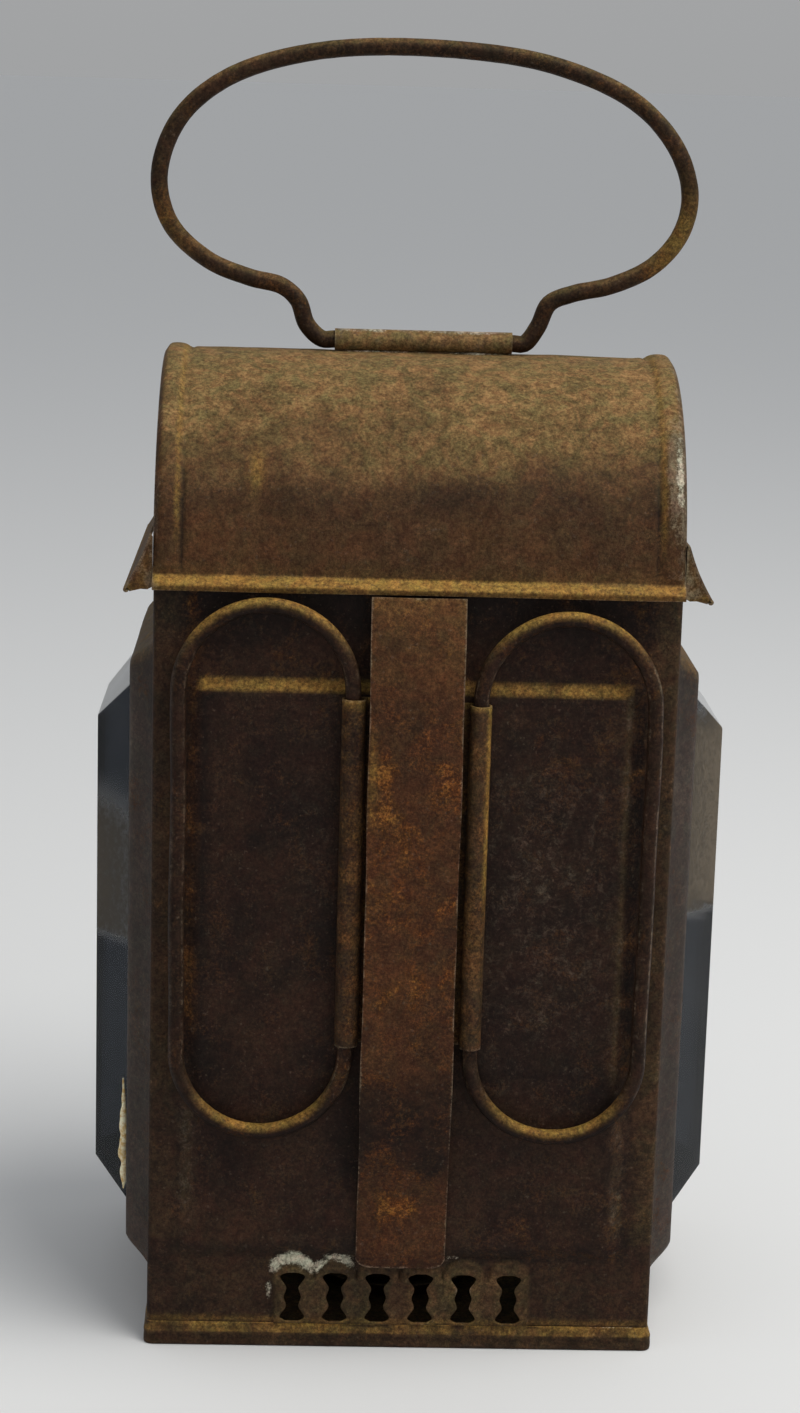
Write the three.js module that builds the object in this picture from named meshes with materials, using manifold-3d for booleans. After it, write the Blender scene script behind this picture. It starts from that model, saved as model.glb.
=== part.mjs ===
// Sheet-iron candle lantern: a rectangular case under a barrel hood, with a wire bail on the ridge,
// two folding wire grips and a belt strap on its back, bevelled side glasses and a glazed front door.
// Millimetres, +Z up. The origin is the middle of the base, the back faces -Y and the door faces +Y.

import * as THREE from "three";
import { ConvexGeometry } from "three/addons/geometries/ConvexGeometry.js";
import { mergeVertices } from "three/addons/utils/BufferGeometryUtils.js";
import Module from "manifold-3d";

const wasm = await Module();
wasm.setup();

// Driving dimensions.
const SHEET = 0.6; // thickness of the sheet iron
const HALF_WIDTH = 49.2; // case, outside
const HALF_DEPTH = 37.6;
const FLOOR = 0.8; // thickness of the base pan's floor
const WALL_TOP = 152;
const CLEAR = 0.05; // between pieces that are soldered or folded together
const RUN = 0.3; // between pieces that move past each other

const PAN_RIM = { out: 0.7, band: 3, top: 4.75 };
const PLATEAU = { left: -40.3, right: 40, low: 21.5, high: 131, rise: 1.5, slope: 3 };
const VENT_CENTRES = [-20.8, -12.5, -4.2, 4.2, 12.6, 21.4];
const VENT = { low: 5.3, high: 15.4, neck: 1.3, flare: 1.15, bulge: 0.35, arch: 4.2, archZ: 14.4 };
const HOOD = { radius: 38.75, springZ: 152.4, halfLength: 49.3, beadWidth: 4.6, bead: 0.4 };
const LIP = { out: 1.9, low: 150.2 };
const EAVE = { top: 160.3, tipOut: 4.7, tipZ: 150, halfLength: 38 };
const BAIL = { radius: 1.6, bore: 1.75, sleeve: 2.1, z: 193.3, left: -16.5, right: 18 };
const GRIP = { radius: 1.5, bore: 1.65, sleeve: 2.05, y: -41.3, bend: 16.15 };
const GRIPS = {
  left: { x: -11.8, side: -1, lowZ: 61.85, highZ: 131.85, sleeveLow: 63.4, sleeveHigh: 130.8 },
  right: { x: 12, side: 1, lowZ: 61.55, highZ: 130.45, sleeveLow: 63.2, sleeveHigh: 130 },
};
const STRAP = { halfWidth: 8.9, thickness: 0.7, low: 19.1, high: 149.9 };
const SIDE_WINDOW = {
  low: 18.3,
  high: 134.3,
  halfWidth: 28.5,
  splay: 4.7,
  rise: 4.75,
  rim: 5.5,
  proud: 6.3,
  bevel: 8,
};
const DOOR_WINDOW = {
  low: 14.5,
  high: 135.5,
  halfWidth: 33,
  splay: 4,
  rise: 4.4,
  rim: 5.5,
  proud: 6,
  bevel: 8,
};
const DOOR = { halfWidth: 41, low: 6.5, high: 143.5 };
const HINGE = { x: 43.7, y: 40, bore: 1.05, radius: 1.9, pin: 0.9 };
const BUTTON = { x: -45.2, z: 75, y: 38.9, thickness: 0.8, halfWidth: 2.2, reach: 7 };
const SOCKET = { bore: 10.3, radius: 10.9, low: 1.6, high: 22 };
const CANDLE = { radius: 10, low: 2.3, high: 70, wick: 0.6, wickTop: 80 };

const X = new THREE.Vector3(1, 0, 0);
const Y = new THREE.Vector3(0, 1, 0);
const Z = new THREE.Vector3(0, 0, 1);

// Solids.

function toSolid(geometry) {
  const bare = geometry.clone();
  bare.deleteAttribute("normal");
  bare.deleteAttribute("uv");
  const merged = mergeVertices(bare, 1e-4);
  const mesh = new wasm.Mesh({
    numProp: 3,
    vertProperties: merged.attributes.position.array,
    triVerts: new Uint32Array(merged.index.array),
  });
  return new wasm.Manifold(mesh);
}

function toGeometry(solid) {
  const mesh = solid.getMesh();
  const geometry = new THREE.BufferGeometry();
  geometry.setAttribute("position", new THREE.BufferAttribute(mesh.vertProperties, 3));
  geometry.setIndex(new THREE.BufferAttribute(mesh.triVerts, 1));
  geometry.computeVertexNormals();
  return geometry;
}

function block([x0, x1], [y0, y1], [z0, z1]) {
  const geometry = new THREE.BoxGeometry(x1 - x0, y1 - y0, z1 - z0);
  geometry.translate((x0 + x1) / 2, (y0 + y1) / 2, (z0 + z1) / 2);
  return toSolid(geometry);
}

// A rectangle in X and Z at y0, joined by sloping sides to another one at y1.
function splayed(y0, from, y1, to) {
  const corners = [];
  for (const [y, [left, right, low, high]] of [[y0, from], [y1, to]]) {
    for (const x of [left, right]) {
      for (const z of [low, high]) {
        corners.push(new THREE.Vector3(x, y, z));
      }
    }
  }
  return toSolid(new ConvexGeometry(corners));
}

function outlineOf(points) {
  return new THREE.Shape(points.map(([a, b]) => new THREE.Vector2(a, b)));
}

// An outline in (Y, Z), drawn out along X.
function alongX(outline, x0, x1, curveSegments = 12) {
  const options = { depth: x1 - x0, bevelEnabled: false, curveSegments };
  const geometry = new THREE.ExtrudeGeometry(outline, options);
  geometry.applyMatrix4(new THREE.Matrix4().makeBasis(Y, Z, X));
  geometry.translate(x0, 0, 0);
  return toSolid(geometry);
}

// An outline in (X, Z), drawn out along Y from y0 up to y1.
function alongY(outline, y0, y1, curveSegments = 12) {
  const options = { depth: y1 - y0, bevelEnabled: false, curveSegments };
  const geometry = new THREE.ExtrudeGeometry(outline, options);
  geometry.applyMatrix4(new THREE.Matrix4().makeBasis(X, Z, Y.clone().negate()));
  geometry.translate(0, y1, 0);
  return toSolid(geometry);
}

function rod(radius, from, to, sides) {
  const axis = to.clone().sub(from);
  const geometry = new THREE.CylinderGeometry(radius, radius, axis.length(), sides);
  const turn = new THREE.Quaternion().setFromUnitVectors(Y, axis.clone().normalize());
  geometry.applyQuaternion(turn);
  const middle = from.clone().add(to).multiplyScalar(0.5);
  geometry.translate(middle.x, middle.y, middle.z);
  return toSolid(geometry);
}

function uprightRod(radius, x, y, low, high, sides) {
  return rod(radius, new THREE.Vector3(x, y, low), new THREE.Vector3(x, y, high), sides);
}

function levelRod(radius, x, z, y0, y1, sides) {
  return rod(radius, new THREE.Vector3(x, y0, z), new THREE.Vector3(x, y1, z), sides);
}

// Profile points are [radius, z], going up the outside and down the inside.
function turned(profile, sides) {
  const points = profile.map(([r, z]) => new THREE.Vector2(r, z));
  const geometry = new THREE.LatheGeometry(points, sides);
  geometry.rotateX(Math.PI / 2);
  return toSolid(geometry);
}

// Round wire along a path.
function wire(path, radius, steps, sides) {
  const section = new THREE.Shape();
  section.absarc(0, 0, radius, 0, 2 * Math.PI);
  const options = { steps, extrudePath: path, curveSegments: sides / 2 };
  return toSolid(new THREE.ExtrudeGeometry(section, options));
}

// Case.

function basePan() {
  const { out, band, top } = PAN_RIM;
  const halfX = HALF_WIDTH + out;
  const halfY = HALF_DEPTH + out;
  const lean = out - 0.1;
  const foot = block([-halfX, halfX], [-halfY, halfY], [0, band]);
  const corners = [];
  for (const [inset, z] of [[0, band], [lean, top]]) {
    for (const sx of [-1, 1]) {
      for (const sy of [-1, 1]) {
        corners.push(new THREE.Vector3(sx * (halfX - inset), sy * (halfY - inset), z));
      }
    }
  }
  const ledge = toSolid(new ConvexGeometry(corners));
  const insideX = HALF_WIDTH + CLEAR;
  const insideY = HALF_DEPTH + CLEAR;
  const hollow = block([-insideX, insideX], [-insideY, insideY], [FLOOR, top + 1]);
  return foot.add(ledge).subtract(hollow);
}

function ventHalfWidth(t) {
  const s = Math.abs(2 * t - 1);
  return VENT.neck + VENT.flare * s ** 5 + VENT.bulge * (1 - s) ** 3;
}

function ventOutline(x) {
  const points = [];
  const steps = 8;
  const height = VENT.high - VENT.low;
  for (let i = 0; i <= steps; i += 1) {
    points.push([x + ventHalfWidth(i / steps), VENT.low + (height * i) / steps]);
  }
  for (let i = steps; i >= 0; i -= 1) {
    points.push([x - ventHalfWidth(i / steps), VENT.low + (height * i) / steps]);
  }
  return outlineOf(points);
}

function rearWall() {
  const { left, right, low, high, rise, slope } = PLATEAU;
  const face = -HALF_DEPTH;
  let wall = block([-HALF_WIDTH, HALF_WIDTH], [face, face + SHEET], [FLOOR, WALL_TOP]);
  const base = [left - slope, right + slope, low - slope, high + slope];
  const crown = [left, right, low, high];
  wall = wall.add(splayed(face, base, face - rise, crown));
  wall = wall.subtract(splayed(face + SHEET, base, face + SHEET - rise, crown));

  // A raised strip with an arch over each vent.
  const stripRise = 0.5;
  const stripHalf = VENT_CENTRES[5] + VENT.arch;
  const strip = [face - stripRise, face + SHEET / 2];
  wall = wall.add(block([-stripHalf + 0.4, stripHalf], strip, [FLOOR, VENT.archZ]));
  for (const x of VENT_CENTRES) {
    wall = wall.add(levelRod(VENT.arch, x, VENT.archZ, strip[0], strip[1], 24));
  }
  for (const x of VENT_CENTRES) {
    wall = wall.subtract(alongY(ventOutline(x), face - rise, face + 2));
  }
  const behindRim = [face - 3, face - CLEAR / 2];
  const trim = block([-HALF_WIDTH, HALF_WIDTH], behindRim, [0, PAN_RIM.top + CLEAR]);
  return wall.subtract(trim);
}

function sideWall(side) {
  const { low, high, rim, halfWidth } = SIDE_WINDOW;
  const outer = side * HALF_WIDTH;
  const inner = side * (HALF_WIDTH - SHEET);
  const halfY = HALF_DEPTH - SHEET - CLEAR;
  const [x0, x1] = [Math.min(outer, inner), Math.max(outer, inner)];
  const wall = block([x0, x1], [-halfY, halfY], [FLOOR, WALL_TOP]);
  const lap = rim + 1;
  const halfOpening = halfWidth - lap;
  return wall.subtract(
    block([x0 - 1, x1 + 1], [-halfOpening, halfOpening], [low + lap, high - lap]),
  );
}

function frontFrame() {
  const { low, high, halfWidth } = DOOR_WINDOW;
  const face = HALF_DEPTH;
  const wall = block([-HALF_WIDTH, HALF_WIDTH], [face - SHEET, face], [FLOOR, WALL_TOP]);
  const lap = 3;
  const halfX = halfWidth + lap;
  return wall.subtract(block([-halfX, halfX], [face - 2, face + 2], [low - lap, high + lap]));
}

// Glazed openings. Each is drawn facing +Y, with y = 0 on the wall or flange behind it.

function pressedFrame({ low, high, halfWidth, splay, rise, rim }) {
  const foot = [-halfWidth - splay, halfWidth + splay, low - splay, high + splay];
  const crown = [-halfWidth, halfWidth, low, high];
  const shell = splayed(0, foot, rise, crown);
  const insideFoot = [foot[0] + SHEET, foot[1] - SHEET, foot[2] + SHEET, foot[3] - SHEET];
  const insideCrown = [crown[0] + SHEET, crown[1] - SHEET, crown[2] + SHEET, crown[3] - SHEET];
  const hollow = splayed(-0.01, insideFoot, rise - SHEET, insideCrown);
  const window = block(
    [-halfWidth + rim, halfWidth - rim],
    [0, rise + 1],
    [low + rim, high - rim],
  );
  return shell.subtract(hollow).subtract(window);
}

function bevelledGlass({ low, high, halfWidth, rise, rim, proud, bevel }) {
  const back = rise - SHEET - 3.1;
  const lap = rim - 2;
  const slab = block(
    [-halfWidth + lap, halfWidth - lap],
    [back, rise - SHEET - CLEAR],
    [low + lap, high - lap],
  );
  const gap = 0.15;
  const half = halfWidth - rim - gap;
  const edge = [-half, half, low + rim + gap, high - rim - gap];
  const step = block([edge[0], edge[1]], [rise - 2, rise + 0.2], [edge[2], edge[3]]);
  const face = [edge[0] + bevel, edge[1] - bevel, edge[2] + bevel, edge[3] - bevel];
  return slab.add(step).add(splayed(rise + 0.2, edge, rise + proud, face));
}

function glassRetainer({ low, high, halfWidth, rise, rim }) {
  const front = rise - SHEET - 3.1 - CLEAR;
  const lap = rim - 4;
  const outer = block(
    [-halfWidth + lap, halfWidth - lap],
    [front - SHEET, front],
    [low + lap, high - lap],
  );
  const inside = rim + 1.5;
  const hole = block(
    [-halfWidth + inside, halfWidth - inside],
    [front - 2, front + 1],
    [low + inside, high - inside],
  );
  return outer.subtract(hole);
}

// Hood.

function hoodShell() {
  const { radius, springZ, halfLength, beadWidth, bead } = HOOD;
  const inner = radius - SHEET;
  const section = new THREE.Shape();
  section.moveTo(radius + LIP.out, LIP.low);
  section.lineTo(radius, springZ + 0.8);
  section.lineTo(radius, springZ + 1);
  const start = Math.asin(1 / radius);
  section.absarc(0, springZ, radius, start, Math.PI - start, false);
  section.lineTo(-radius, springZ + 0.8);
  section.lineTo(-radius - LIP.out, LIP.low);
  section.lineTo(-radius - LIP.out + 0.5, LIP.low - 0.2);
  section.lineTo(-inner, springZ + 0.3);
  section.absarc(0, springZ, inner, Math.PI - 0.015, 0.015, true);
  section.lineTo(inner, springZ + 0.3);
  section.lineTo(radius + LIP.out - 0.5, LIP.low - 0.2);
  section.closePath();
  let shell = alongX(section, -halfLength, halfLength, 28);

  const ring = new THREE.Shape();
  const foot = 0.04;
  ring.absarc(0, springZ, radius + bead, foot, Math.PI - foot, false);
  ring.absarc(0, springZ, radius - SHEET / 2, Math.PI - foot, foot, true);
  ring.closePath();
  shell = shell.add(alongX(ring, -halfLength, -halfLength + beadWidth, 28));
  return shell.add(alongX(ring, halfLength - beadWidth, halfLength, 28));
}

function hoodEnd(side) {
  const { radius, springZ, halfLength } = HOOD;
  const low = WALL_TOP + 0.15;
  const rim = radius - SHEET - 0.15;
  const start = Math.asin(1 / rim);
  const disc = new THREE.Shape();
  disc.moveTo(rim * Math.cos(start), low);
  disc.absarc(0, springZ, rim, start, Math.PI - start, false);
  disc.lineTo(-rim * Math.cos(start), low);
  disc.closePath();
  const outer = side * (halfLength - 0.3);
  const inner = outer - side * SHEET;
  const [x0, x1] = [Math.min(outer, inner), Math.max(outer, inner)];
  let cap = alongX(disc, x0, x1, 20);

  // Smoke holes in an arc, so that the heat gets out under the ridge.
  const holes = 5;
  const holeArc = 23;
  const holeRadius = 3.2;
  for (let i = 0; i < holes; i += 1) {
    const angle = (Math.PI * (i + 1)) / (holes + 1);
    const y = holeArc * Math.cos(angle);
    const z = springZ + holeArc * Math.sin(angle);
    const from = new THREE.Vector3(x0 - 1, y, z);
    const to = new THREE.Vector3(x1 + 1, y, z);
    cap = cap.subtract(rod(holeRadius, from, to, 12));
  }
  return cap;
}

// A sloping rain eave over a side window, closed at both ends.
function eave(side) {
  const { top, tipOut, tipZ, halfLength } = EAVE;
  const x = HOOD.halfLength + CLEAR;
  const outline = [
    [x, WALL_TOP - 2],
    [x + SHEET, WALL_TOP - 2],
    [x + SHEET, top - 1.6],
    [x + tipOut - 0.5, tipZ - 0.2],
    [x + tipOut + 0.1, tipZ - 0.8],
    [x + tipOut + 0.7, tipZ],
    [x + SHEET, top],
    [x, top],
  ];
  const gusset = [
    [x, WALL_TOP - 2],
    [x + 2, WALL_TOP - 1],
    [x + tipOut, tipZ],
    [x + SHEET, top - 0.5],
    [x, top - 0.5],
  ];
  const mirrored = (points) => outlineOf(points.map(([a, b]) => [side * a, b]));
  const roof = alongY(mirrored(outline), -halfLength, halfLength);
  const rear = alongY(mirrored(gusset), -halfLength, -halfLength + SHEET);
  const front = alongY(mirrored(gusset), halfLength - SHEET, halfLength);
  return roof.add(rear).add(front);
}

function bailSleeve() {
  const from = new THREE.Vector3(BAIL.left, 0, BAIL.z);
  const to = new THREE.Vector3(BAIL.right, 0, BAIL.z);
  const past = new THREE.Vector3(1, 0, 0);
  const tube = rod(BAIL.sleeve, from, to, 20);
  return tube.subtract(rod(BAIL.bore, from.clone().sub(past), to.clone().add(past), 16));
}

// Bail and grips.

function bail() {
  const z = BAIL.z;
  const halfGap = 0.3; // the wire's two ends meet inside the sleeve
  const bend = [
    [20.4, z],
    [22.9, 196.6],
    [25, 201.2],
    [29.5, 203.2],
    [37, 205],
    [44.6, 208.8],
    [49.8, 215],
    [51.4, 222.5],
    [48.6, 231.2],
    [40, 239.9],
    [24, 246.4],
    [0, 249],
    [-22, 247.6],
    [-38.5, 242.2],
    [-47.6, 234],
    [-50.8, 224],
    [-48.6, 214.8],
    [-41.5, 208],
    [-33.4, 204.8],
    [-27, 203.3],
    [-23.8, 200.6],
    [-22, 196],
    [-19, z],
  ];
  const at = ([x, height]) => new THREE.Vector3(x, 0, height);
  const path = new THREE.CurvePath();
  const right = at([BAIL.right, z]);
  const left = at([BAIL.left, z]);
  const points = [right, ...bend.map(at), left];
  path.add(new THREE.LineCurve3(at([halfGap, z]), right));
  path.add(new THREE.CatmullRomCurve3(points, false, "centripetal"));
  path.add(new THREE.LineCurve3(left, at([-halfGap, z])));
  return wire(path, BAIL.radius, 96, 10);
}

// A stadium of wire whose straight inner side turns in the hinge sleeve.
function grip({ x, side, lowZ, highZ }) {
  const outerX = x + side * 2 * GRIP.bend;
  const middleX = x + side * GRIP.bend;
  const gapZ = (lowZ + highZ) / 2;
  const at = (px, pz) => new THREE.Vector3(px, GRIP.y, pz);
  const arc = (centreZ, from, to) => {
    const points = [];
    const steps = 12;
    for (let i = 0; i <= steps; i += 1) {
      const angle = from + ((to - from) * i) / steps;
      const px = middleX - side * GRIP.bend * Math.cos(angle);
      points.push(at(px, centreZ + GRIP.bend * Math.sin(angle)));
    }
    return new THREE.CatmullRomCurve3(points, false, "centripetal");
  };
  const path = new THREE.CurvePath();
  path.add(new THREE.LineCurve3(at(x, gapZ + 0.3), at(x, highZ)));
  path.add(arc(highZ, 0, Math.PI));
  path.add(new THREE.LineCurve3(at(outerX, highZ), at(outerX, lowZ)));
  path.add(arc(lowZ, Math.PI, 2 * Math.PI));
  path.add(new THREE.LineCurve3(at(x, lowZ), at(x, gapZ - 0.3)));
  return wire(path, GRIP.radius, 72, 10);
}

function gripHingePlate() {
  const back = -HALF_DEPTH - PLATEAU.rise - CLEAR;
  const { left, right } = GRIPS;
  const low = Math.max(left.sleeveLow, right.sleeveLow);
  const high = Math.min(left.sleeveHigh, right.sleeveHigh);
  let plate = block([left.x, right.x], [back - SHEET, back], [low, high]);
  for (const { x, sleeveLow, sleeveHigh } of [left, right]) {
    plate = plate.add(uprightRod(GRIP.sleeve, x, GRIP.y, sleeveLow, sleeveHigh, 20));
  }
  for (const { x } of [left, right]) {
    plate = plate.subtract(uprightRod(GRIP.bore, x, GRIP.y, low - 2, high + 2, 16));
  }
  return plate;
}

// The strap lies on the wall at its foot, bows out over the hinge plate and meets the lip.
function beltStrap() {
  const { halfWidth, thickness, low, high } = STRAP;
  const inner = [
    [-38.7, low],
    [-39.35, 22],
    [-39.5, 28],
    [-41.2, 35],
    [-43.5, 45],
    [-44, 54],
    [-44.1, 90],
    [-44, 126],
    [-43.3, 136],
    [-41.8, 144],
    [-40.1, high],
  ];
  const outer = inner.map(([y, z]) => [y - thickness, z]).reverse();
  return alongX(outlineOf([...inner, ...outer]), -halfWidth, halfWidth);
}

// Door.

const DOOR_FACE = HALF_DEPTH + RUN;
const GLAZING_FACE = DOOR_FACE + SHEET / 2; // the raised frame starts half way through the flange

function doorFrame() {
  const { halfWidth, low, high } = DOOR;
  const flange = block([-halfWidth, halfWidth], [DOOR_FACE, DOOR_FACE + SHEET], [low, high]);
  const reach = DOOR_WINDOW.splay - SHEET;
  const foot = DOOR_WINDOW.halfWidth + reach;
  const hole = block(
    [-foot, foot],
    [DOOR_FACE - 1, DOOR_FACE + 2],
    [DOOR_WINDOW.low - reach, DOOR_WINDOW.high + reach],
  );
  const raised = pressedFrame(DOOR_WINDOW).translate([0, GLAZING_FACE, 0]);
  return flange.subtract(hole).add(raised);
}

function caseKnuckle(low, high) {
  const face = HALF_DEPTH + CLEAR;
  const leaf = block([HINGE.x, HALF_WIDTH - 0.7], [face, face + SHEET], [low, high]);
  const tube = uprightRod(HINGE.radius, HINGE.x, HINGE.y, low, high, 16);
  const web = block([HINGE.x, HINGE.x + HINGE.radius - 0.1], [face, HINGE.y], [low, high]);
  const bore = uprightRod(HINGE.bore, HINGE.x, HINGE.y, low - 1, high + 1, 16);
  return leaf.add(tube).add(web).subtract(bore);
}

function doorKnuckle(low, high) {
  const face = DOOR_FACE + SHEET + CLEAR;
  const edge = DOOR_WINDOW.halfWidth + DOOR_WINDOW.splay + 0.4;
  const leaf = block([edge, HINGE.x], [face, face + SHEET], [low, high]);
  const tube = uprightRod(HINGE.radius, HINGE.x, HINGE.y, low, high, 16);
  const bore = uprightRod(HINGE.bore, HINGE.x, HINGE.y, low - 1, high + 1, 16);
  return leaf.add(tube).subtract(bore);
}

function hingePin(low, high) {
  const head = 1.6;
  const shank = [[0, low], [HINGE.pin, low], [HINGE.pin, high]];
  return turned([...shank, [head, high], [head, high + 0.8], [0, high + 1.1]], 12);
}

function doorPull() {
  const foot = [[0, 0], [2, 0], [2, 0.5], [1.1, 1.1]];
  const knob = [[1.1, 2.6], [2.2, 3.6], [2.2, 4.6], [0, 5.4]];
  return turned([...foot, ...knob], 14).rotate([-90, 0, 0]);
}

function turnButton() {
  const { thickness, halfWidth, reach } = BUTTON;
  const tab = new THREE.Shape();
  tab.absarc(0, 0, halfWidth, 0, Math.PI, false);
  tab.lineTo(-halfWidth, -reach + halfWidth);
  tab.absarc(0, -reach + halfWidth, halfWidth, Math.PI, 2 * Math.PI, false);
  tab.closePath();
  const hole = levelRod(1.05, 0, 0, -1, thickness + 1, 16);
  return alongY(tab, 0, thickness, 8).subtract(hole);
}

function latchRivet() {
  const start = HALF_DEPTH + CLEAR;
  const washerTop = BUTTON.y - 0.15;
  const headLow = BUTTON.y + BUTTON.thickness + 0.15;
  const profile = [
    [0, start],
    [1.7, start],
    [1.7, washerTop],
    [0.9, washerTop],
    [0.9, headLow],
    [1.8, headLow],
    [1.8, headLow + 0.3],
    [0, headLow + 1],
  ];
  return turned(profile, 16).rotate([-90, 0, 0]);
}

// Candle and its holder.

function dripTray() {
  const low = FLOOR + CLEAR;
  const top = SOCKET.low - CLEAR;
  return turned(
    [[0, low], [16, low], [19, low + 3.6], [18.4, low + 3.8], [15.6, top], [0, top]],
    32,
  );
}

function candleSocket() {
  const { bore, radius, low, high } = SOCKET;
  const flare = 0.9;
  return turned(
    [
      [0, low],
      [radius, low],
      [radius, high - 1.5],
      [radius + flare, high],
      [bore + flare, high],
      [bore, high - 1.5],
      [bore, low + SHEET],
      [0, low + SHEET],
    ],
    32,
  );
}

function candle() {
  const { radius, low, high } = CANDLE;
  const side = [[0, low], [radius, low], [radius, high - 1.6], [radius - 0.8, high]];
  const pool = [[radius - 2.2, high], [3, high - 2.4], [0, high - 2.8]];
  return turned([...side, ...pool], 32);
}

function wick() {
  const low = CANDLE.high - 2.7;
  const path = new THREE.CatmullRomCurve3([
    new THREE.Vector3(0, 0, low),
    new THREE.Vector3(0, 0, low + 6),
    new THREE.Vector3(0.7, 0, CANDLE.wickTop - 3),
    new THREE.Vector3(2.2, 0, CANDLE.wickTop),
  ]);
  return wire(path, CANDLE.wick, 8, 6);
}

// Assembly.

const finishes = {
  tinplate: { color: 0x3a2c20, roughness: 0.72, metalness: 0.55 },
  strap: { color: 0x54331f, roughness: 0.8, metalness: 0.4 },
  wire: { color: 0x4a3423, roughness: 0.65, metalness: 0.6 },
  glass: { color: 0x8fa0a8, roughness: 0.08, metalness: 0, transparent: true, opacity: 0.45 },
  wax: { color: 0xe6dcc0, roughness: 0.55, metalness: 0 },
  cotton: { color: 0x2b2724, roughness: 0.95, metalness: 0 },
};

function piece(parent, name, solid, finish) {
  const material = new THREE.MeshStandardMaterial(finishes[finish]);
  const mesh = new THREE.Mesh(toGeometry(solid), material);
  mesh.name = name;
  parent.add(mesh);
  return mesh;
}

const lantern = new THREE.Group();

piece(lantern, "base_pan", basePan(), "tinplate");
piece(lantern, "rear_wall", rearWall(), "tinplate");
piece(lantern, "front_frame", frontFrame(), "tinplate");
piece(lantern, "hood_shell", hoodShell(), "tinplate");
piece(lantern, "bail_sleeve", bailSleeve(), "tinplate");
piece(lantern, "grip_hinge_plate", gripHingePlate(), "tinplate");
piece(lantern, "belt_strap", beltStrap(), "strap");

for (const [name, side] of [["left", -1], ["right", 1]]) {
  piece(lantern, `${name}_side_wall`, sideWall(side), "tinplate");
  piece(lantern, `${name}_hood_end`, hoodEnd(side), "tinplate");
  piece(lantern, `${name}_eave`, eave(side), "tinplate");

  // The glazing faces out of its wall.
  const glazing = new THREE.Group();
  glazing.position.x = side * (HALF_WIDTH + CLEAR);
  glazing.rotation.z = (-side * Math.PI) / 2;
  lantern.add(glazing);
  piece(glazing, `${name}_window_frame`, pressedFrame(SIDE_WINDOW), "tinplate");
  piece(glazing, `${name}_window_glass`, bevelledGlass(SIDE_WINDOW), "glass");
  piece(glazing, `${name}_glass_retainer`, glassRetainer(SIDE_WINDOW), "tinplate");
}

piece(lantern, "bail", bail(), "wire");
piece(lantern, "left_grip", grip(GRIPS.left), "wire");
piece(lantern, "right_grip", grip(GRIPS.right), "wire");

const door = new THREE.Group();
door.position.y = GLAZING_FACE;
lantern.add(door);
piece(lantern, "door_frame", doorFrame(), "tinplate");
piece(door, "door_glass", bevelledGlass(DOOR_WINDOW), "glass");
piece(door, "door_glass_retainer", glassRetainer(DOOR_WINDOW), "tinplate");

// Hinge barrels from bottom to top: case, door, case, with a gap between them.
const KNUCKLES = { low: 48, high: 102, length: 17.6 };
const middleLow = (KNUCKLES.low + KNUCKLES.high - KNUCKLES.length) / 2;
const lowerKnuckle = caseKnuckle(KNUCKLES.low, KNUCKLES.low + KNUCKLES.length);
const upperKnuckle = caseKnuckle(KNUCKLES.high - KNUCKLES.length, KNUCKLES.high);
piece(lantern, "lower_case_knuckle", lowerKnuckle, "tinplate");
piece(lantern, "upper_case_knuckle", upperKnuckle, "tinplate");
piece(lantern, "door_knuckle", doorKnuckle(middleLow, middleLow + KNUCKLES.length), "tinplate");
const pinShape = hingePin(KNUCKLES.low - 0.6, KNUCKLES.high + 0.2);
const pin = piece(lantern, "door_hinge_pin", pinShape, "wire");
pin.position.set(HINGE.x, HINGE.y, 0);

const pull = piece(lantern, "door_pull", doorPull(), "wire");
pull.position.set(-39, DOOR_FACE + SHEET + CLEAR, 100);
const button = piece(lantern, "turn_button", turnButton(), "tinplate");
button.position.set(BUTTON.x, BUTTON.y, BUTTON.z);
const rivet = piece(lantern, "latch_rivet", latchRivet(), "wire");
rivet.position.set(BUTTON.x, 0, BUTTON.z);

piece(lantern, "drip_tray", dripTray(), "tinplate");
piece(lantern, "candle_socket", candleSocket(), "tinplate");
piece(lantern, "candle", candle(), "wax");
piece(lantern, "wick", wick(), "cotton");

export default lantern;
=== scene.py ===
"""Looks of the candle lantern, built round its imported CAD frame. Sizes are millimetres until MM."""

import functools
import math
import types

import bmesh
import bpy
import numpy as np
from mathutils import Matrix, Vector


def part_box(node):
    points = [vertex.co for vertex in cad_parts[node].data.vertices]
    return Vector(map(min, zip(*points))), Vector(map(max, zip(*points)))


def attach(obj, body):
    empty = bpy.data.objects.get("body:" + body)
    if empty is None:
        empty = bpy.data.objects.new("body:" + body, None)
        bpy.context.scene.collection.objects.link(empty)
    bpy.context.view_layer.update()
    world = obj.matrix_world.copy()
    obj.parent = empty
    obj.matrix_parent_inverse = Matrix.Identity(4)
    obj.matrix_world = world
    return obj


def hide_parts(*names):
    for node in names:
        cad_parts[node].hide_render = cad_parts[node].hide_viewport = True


MM = 0.001

# The camera stands at the photograph's viewing angle. Metres and degrees.
CAMERA_PLACE = (-0.019514, -0.564375, 0.245124)
CAMERA_YAW, CAMERA_PITCH, CAMERA_ROLL = 1.797, 12.457, 1.616
CAMERA_LENS = 73.63

# The studio's sky, from the horizon up to overhead, and its floor.
HORIZON = (0.36, 0.365, 0.37)
ZENITH = (0.50, 0.50, 0.50)
FLOOR_RADIUS, FLOOR_SIDES = 40.0, 64

# Sheet work.
SHEET = 0.6
CORNER = 1.1
GRID, FINE_GRID, COARSE_GRID = 0.95, 0.42, 1.6
# The case's rounded edges show wear and a painted highlight.
CASE_HALF, CASE_EDGE = 49.2, 48.9  # half width, and where its rounded edge shows wear
DEPTH_HALF, DEPTH_EDGE = 37.6, 37.4
SIDE_HALF = DEPTH_HALF - CORNER - 0.05
PAN_TOP = 4.6

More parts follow.
